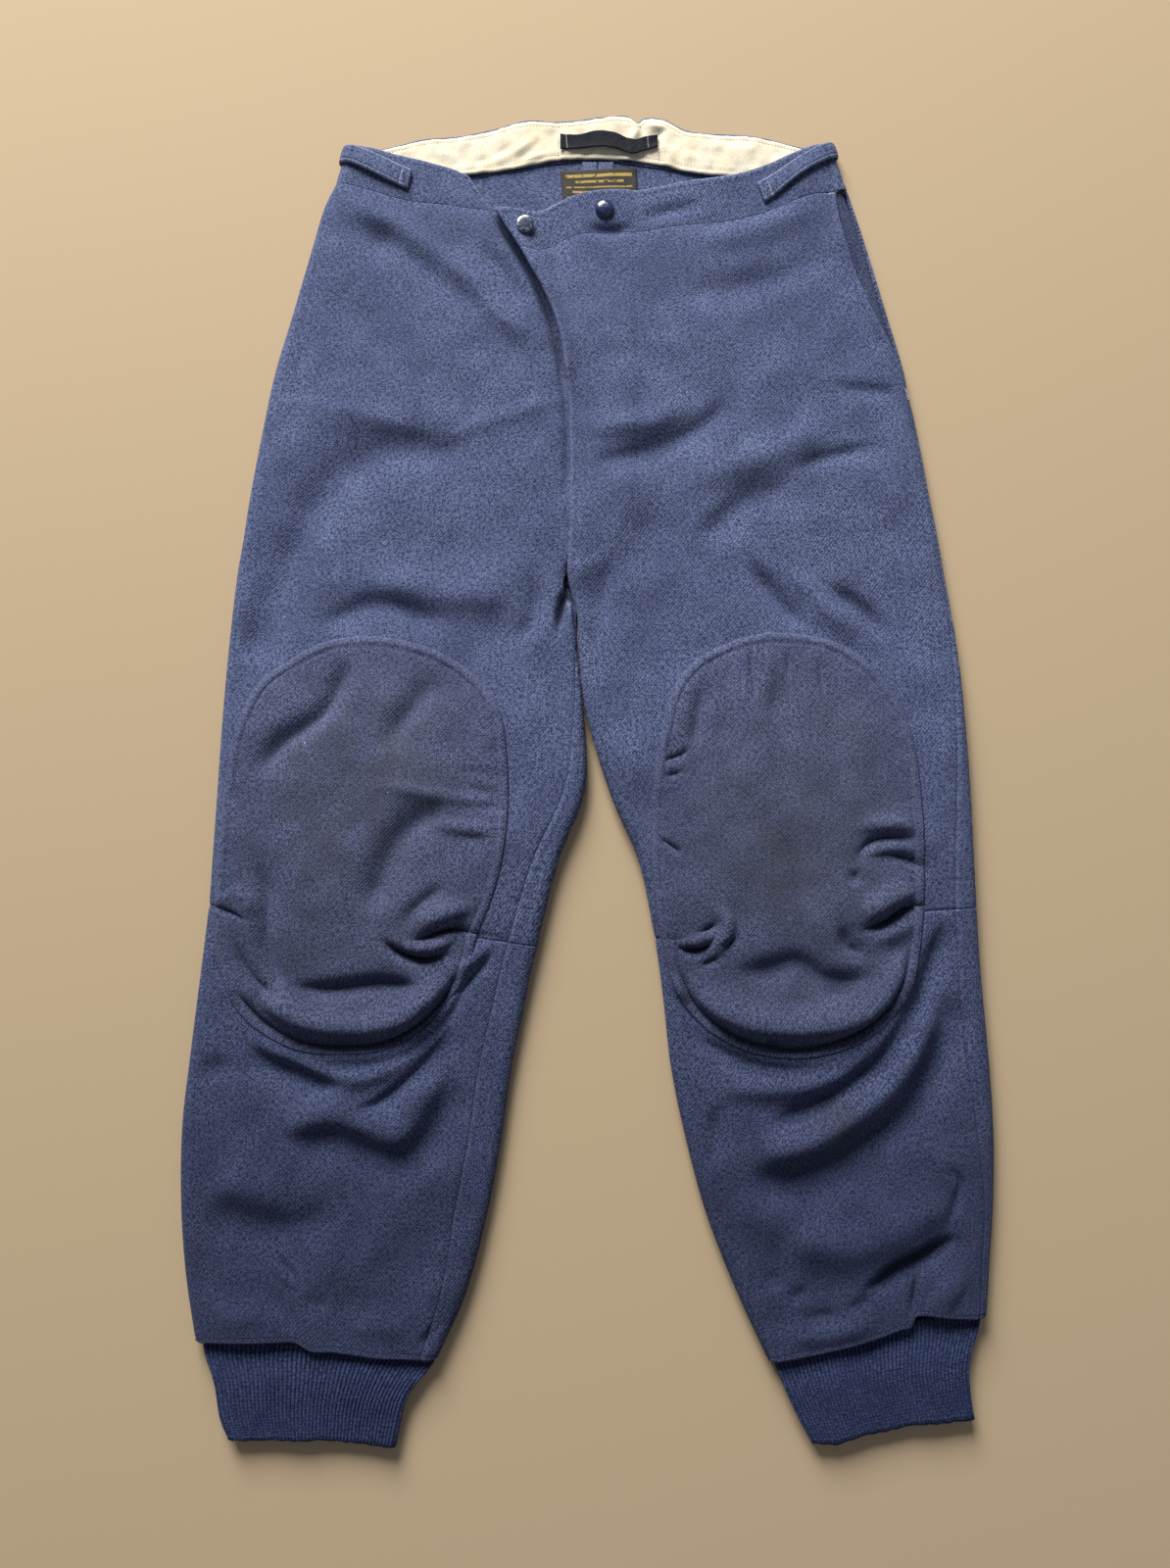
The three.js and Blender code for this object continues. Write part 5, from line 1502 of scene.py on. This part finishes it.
def makeLabel():
    (ax, ay), (bx, by), (cx, cy), (dx, dy) = label["corners"]
    u, v = np.meshgrid(np.linspace(0, 1, 45), np.linspace(0, 1, 30))
    x = (ax * (1 - u) + bx * u) * (1 - v) + (dx * (1 - u) + cx * u) * v
    y = (ay * (1 - u) + by * u) * (1 - v) + (dy * (1 - u) + cy * u) * v
    wide, tall = label["size"]
    edge = np.minimum(np.minimum(u, 1 - u) * wide, np.minimum(v, 1 - v) * tall)
    z = label["height"] + 0.3 * ripple(x * 2.5, y * 2.5) + 0.35 * (1 - np.exp(-edge / 2))
    sheet = layGrid("waistLabel", np.stack([x, y, z], -1), u * wide, v * tall, None,
                    cloth["tape"] * 0.8, upward=True)
    finishPiece(sheet, satin, ["label"])
    return sheet


backSeam = {
    "strips": (("Right", 8.4, -4.5), ("Left", 9.6, 22.5)),  # where each one starts and ends
    "downs": (2, 330),
    "thick": 1.0,
}


def makeBackSeamEdges():
    # the centre back seam's two edges, pressed open on the inside
    made = []
    for name, near, far in backSeam["strips"]:
        xs = np.linspace(min(near, far), max(near, far), 9)
        downs = np.linspace(*backSeam["downs"], 120)
        row = rowAt(rightLeg, downs)
        y = np.broadcast_to(row["backY"][:, None], (len(downs), 9)) + 0.0
        x = row["backX"][:, None] - 9 + xs[None, :]
        wobble = 0.8 * np.sin(downs / 23 + far)[:, None] * np.abs(xs - near)[None, :] / 13
        x = x + wobble
        z = cloth["wool"] + 0.65 + 0.25 * np.abs(np.sin(downs / 17))[:, None] + 0 * x
        sheet = layGrid(f"backSeamEdge{name}", np.stack([x, y, z], -1), x, -y,
                        {"wear": 0 * x + 0.35, "stain": 0 * x}, backSeam["thick"],
                        upward=True)
        finishPiece(sheet, bodyWool, [])
        made.append(sheet)
    return made


# Stitches


stitch = {"long": 2.5, "pitch": 3.2, "thick": 0.62, "sunk": 0.05}


def surfaceTree(sheets):
    corners, faces = [], []
    for sheet in sheets:
        start = len(corners)
        corners.extend(v.co.copy() for v in sheet.data.vertices)
        faces.extend([start + i for i in p.vertices] for p in sheet.data.polygons)
    return BVHTree.FromPolygons(corners, faces)


def onSurface(tree, x, y):
    # height in mm of the highest cloth at a place of the tables
    px, py, _ = inMetres((x, y, 0))
    hit = tree.ray_cast(Vector((px, py, 0.2)), Vector((0, 0, -1)))
    return None if hit[0] is None else hit[0].z * 1000


def stitchModel():
    bpy.ops.object.select_all(action="DESELECT")
    bpy.ops.mesh.primitive_uv_sphere_add(segments=6, ring_count=4, radius=0.5)
    bpy.ops.object.mode_set(mode="EDIT")
    bpy.ops.mesh.select_all(action="SELECT")
    bpy.ops.transform.rotate(value=math.pi / 2, orient_axis="Y", center_override=(0, 0, 0))
    bpy.ops.object.mode_set(mode="OBJECT")
    model = bpy.context.object
    corners = np.array([v.co[:] for v in model.data.vertices])
    corners[:, 0] = np.sign(corners[:, 0]) * (2 * np.abs(corners[:, 0])) ** 0.6 / 2  # blunt ends
    faces = [list(p.vertices) for p in model.data.polygons]
    bpy.data.objects.remove(model)
    return corners, faces


def stitchesAlong(rows, tree, long=None, pitch=None, thick=None):
    # ends of the stitches of each row, laid on the cloth below them
    long, pitch = long or stitch["long"], pitch or stitch["pitch"]
    ends = []
    for points in rows:
        line = smoothLine(points)
        run = np.r_[0, np.cumsum(np.hypot(*np.diff(line, axis=0).T))]
        for start in np.arange(0.4, run[-1] - long, pitch):
            pair = []
            for way in (start, start + long):
                x, y = np.interp(way, run, line[:, 0]), np.interp(way, run, line[:, 1])
                z = onSurface(tree, x, y)
                if z is None:
                    break
                pair.append((x, y, z))
            if len(pair) == 2 and abs(pair[0][2] - pair[1][2]) < long:
                ends.append((pair, thick or stitch["thick"]))
    return ends


def barTack(start, end, tree, wide=2.2, turns=9):
    # a bar of close stitches from start to end
    ax, ay = start
    bx, by = end
    long = math.hypot(bx - ax, by - ay)
    sx, sy = -(by - ay) / long * wide / 2, (bx - ax) / long * wide / 2
    ends = []
    for part in np.linspace(0, 1, turns):
        x, y = ax + (bx - ax) * part, ay + (by - ay) * part
        z = onSurface(tree, x, y)
        if z is not None:
            ends.append((((x - sx, y - sy, z), (x + sx, y + sy, z)), 0.75))
    return ends


def sewStitches(name, ends, material):
    shape, quads = stitchTemplate
    corners, faces = [], []
    for (start, end), thick in ends:
        start, end = np.array(start), np.array(end)
        along = end - start
        long = np.linalg.norm(along)
        along = along / long
        side = np.cross([0, 0, 1], along)
        side = side / max(np.linalg.norm(side), 1e-6)
        up = np.cross(along, side)
        middle = (start + end) / 2 - up * stitch["sunk"] * thick
        offset = len(corners)
        turned = (middle + shape[:, :1] * long * along + shape[:, 1:2] * thick * side
                  + shape[:, 2:3] * thick * 0.8 * up)
        corners.extend(turned)
        faces.extend([offset + i for i in quad] for quad in quads)
    mesh = bpy.data.meshes.new(name)
    mesh.from_pydata(inMetres(corners).tolist(), [], faces)
    mesh.update()
    piece = bpy.data.objects.new(name, mesh)
    bpy.context.scene.collection.objects.link(piece)
    selectOnly(piece)
    bpy.ops.object.shade_smooth()
    return finishPiece(piece, material, [])


def legLine(oneLeg, downs, ways):
    places = legPlace(oneLeg, np.asarray(downs, float), np.asarray(ways, float))
    return places[:, :2]


# Snaps


snapCap = {"middle": (14.5, 443), "radius": 8.0, "tall": 4.6, "reach": 8}
snapRing = {"middle": (-50, 427.5), "radius": 7.3, "tall": 2.4, "reach": 7}


def snapSeat(spec):
    # the snap is pressed 0.5 mm into the highest cloth under it
    x, y = spec["middle"]
    steps = (-spec["reach"], 0, spec["reach"])
    return max(onSurface(clothTree, x + dx, y + dy) for dx in steps for dy in steps) - 0.5


def makeSnap(name, spec, profile, material, node, height, rimMark=None):
    # turned from its profile, as part of the radius and of the height
    bpy.ops.object.select_all(action="DESELECT")
    bpy.ops.mesh.primitive_circle_add(vertices=56, radius=spec["radius"] * profile[0][0] / 1000,
                                      fill_type="NGON")
    snap = bpy.context.object
    snap.name = name
    bpy.ops.object.mode_set(mode="EDIT")
    bpy.ops.mesh.select_all(action="SELECT")
    (beforeR, beforeZ), rest = profile[0], profile[1:]
    for partR, partZ in rest:
        bpy.ops.mesh.extrude_region_move(
            TRANSFORM_OT_translate={"value": (0, 0, (partZ - beforeZ) * spec["tall"] / 1000)})
        grow = partR / beforeR
        bpy.ops.transform.resize(value=(grow, grow, 1))
        beforeR, beforeZ = partR, partZ
    bpy.ops.mesh.select_all(action="SELECT")
    bpy.ops.mesh.normals_make_consistent(inside=False)
    bpy.ops.object.mode_set(mode="OBJECT")
    x, y, z = inMetres((*spec["middle"], height))
    for vertex in snap.data.vertices:
        vertex.co = vertex.co + Vector((x, y, z))
    snap.location = (0, 0, 0)
    addModifier(snap, "BEVEL", width=0.00025, segments=3, limit_method="ANGLE",
                angle_limit=math.radians(28))
    if rimMark:
        marks = snap.data.attributes.new("rim", "FLOAT", "POINT")
        for vertex, mark in zip(snap.data.vertices, marks.data):
            far = math.hypot(vertex.co.x - x, vertex.co.y - y) * 1000 / spec["radius"]
            mark.value = max(0.0, min(1.0, (far - rimMark[0]) / (rimMark[1] - rimMark[0])))
    selectOnly(snap)
    bpy.ops.object.shade_smooth_by_angle(angle=math.radians(40))
    return finishPiece(snap, material, [node])


# Everything is made here

pieces = {}
for oneLeg in (rightLeg, leftLeg):
    name = oneLeg["name"]
    for key, sheet in makeLegSheets(oneLeg).items():
        pieces[key + name] = sheet
    pieces["patch" + name], pieces["rim" + name] = makeKneePatch(oneLeg)
    pieces["bandFront" + name], pieces["bandBack" + name] = makeWaistband(oneLeg)
    pieces["bearer" + name] = makePocketBearer(oneLeg)
    pieces["tab" + name] = makeWaistTab(oneLeg)
    pieces["cuff" + name] = makeCuff(oneLeg)
    print("leg ready:", name)
pieces["facing"] = makeFacing()
pieces["loop"] = makeLoop()
pieces["label"] = makeLabel()
pieces["seamEdges"] = makeBackSeamEdges()
print("inside of the waist ready")

stitchTemplate = stitchModel()
clothTree = surfaceTree(topSheets)
insideTree = surfaceTree([pieces["facing"], pieces["loop"], pieces["label"]])
for oneLeg in (rightLeg, leftLeg):
    name = oneLeg["name"]
    rim = pieces["rim" + name]
    middle = np.array(kneePatches[name]["middle"], float)
    ends = []
    for inward in patchSeam["rows"]:
        out = rim - middle
        far = np.hypot(out[:, 0], out[:, 1])[:, None]
        ends += stitchesAlong([middle + out * (1 - inward * 1.05 / far)], clothTree)
    sewStitches(f"patchStitches{name}", ends, navyThread)
    hemWide = rowAt(oneLeg, float(leg["hem"]))["top"]
    low = legLine(oneLeg, np.full(40, leg["hem"] - 3.0), np.linspace(6, hemWide - 6, 40))
    ends = stitchesAlong([low], clothTree)
    sewStitches(f"hemStitches{name}", ends, navyThread)
fly = stitchesAlong([flyStitch], clothTree)
sewStitches("flyStitches", fly, navyThread)
pocketDowns = np.linspace(4, 160, 40)
pocketWays = seamWays(leftLeg, pocketDowns)[0] + 6
ends = stitchesAlong([legLine(leftLeg, pocketDowns, pocketWays)], clothTree)
outDowns = np.linspace(172, 850, 120)
outWays = seamWays(leftLeg, outDowns)[0]
felled = legLine(leftLeg, outDowns[20:], np.maximum(outWays - 6.4, 2.5)[20:])
ends += stitchesAlong([felled], clothTree)
inDowns = np.linspace(430, 850, 80)
inWays = seamWays(rightLeg, inDowns)[2]
ends += stitchesAlong([legLine(rightLeg, inDowns, inWays + 6.4)], clothTree)
sewStitches("seamStitches", ends, navyThread)
ends = []
for name, tab in (("Right", waistTabs["Right"]), ("Left", waistTabs["Left"])):
    oneLeg = rightLeg if name == "Right" else leftLeg
    bar = legLine(oneLeg, [tab["topAtEnd"] + 2, tab["topAtEnd"] + 13], [tab["end"] - 7] * 2)
    ends += barTack(bar[0], bar[1], clothTree, 1.4, 12)
ends += barTack((256, 292), (258.5, 284), clothTree, 2.4, 9)
ends += barTack((198, 457), (208, 458), clothTree, 1.4, 9)
for x in hangerLoop["tacks"]:
    ends += barTack((x, 510), (x + 0.8, 500.5), insideTree, 1.2, 9)
sewStitches("barTacks", ends, paleThread)
xs = np.linspace(-180, 182, 90)
lowX, lowY = zip(*facing["low"])
upper = np.stack([xs, backTop(xs) - facing["rim"] - facing["stitchIn"][0]], 1)
lower = np.stack([xs, curveThrough(lowX, lowY, xs) + facing["stitchIn"][1]], 1)
uprights = [[(x, 488), (x, 523)] for x in facing["uprights"]]
ends = stitchesAlong([upper, lower] + uprights, insideTree, 1.7, 2.7, 0.42)
sewStitches("facingStitches", ends, darkThread)

dome = [(0.9, 0), (1, 0.1), (1, 0.22), (0.97, 0.4), (0.9, 0.57), (0.8, 0.72), (0.66, 0.85),
        (0.5, 0.93), (0.32, 0.98), (0.14, 1.0)]
lowDome = [(0.9, 0), (1, 0.18), (1, 0.4), (0.97, 0.58), (0.9, 0.74), (0.8, 0.86), (0.66, 0.94),
           (0.5, 0.97), (0.34, 0.99), (0.15, 1.0)]
pieces["cap"] = makeSnap("snapCap", snapCap, dome, enamel, "snap_cap",
                         snapSeat(snapCap))
pieces["ring"] = makeSnap("snapRing", snapRing, lowDome, snapMetal, "snap_ring",
                          snapSeat(snapRing), (0.62, 0.78))
print("snaps ready")
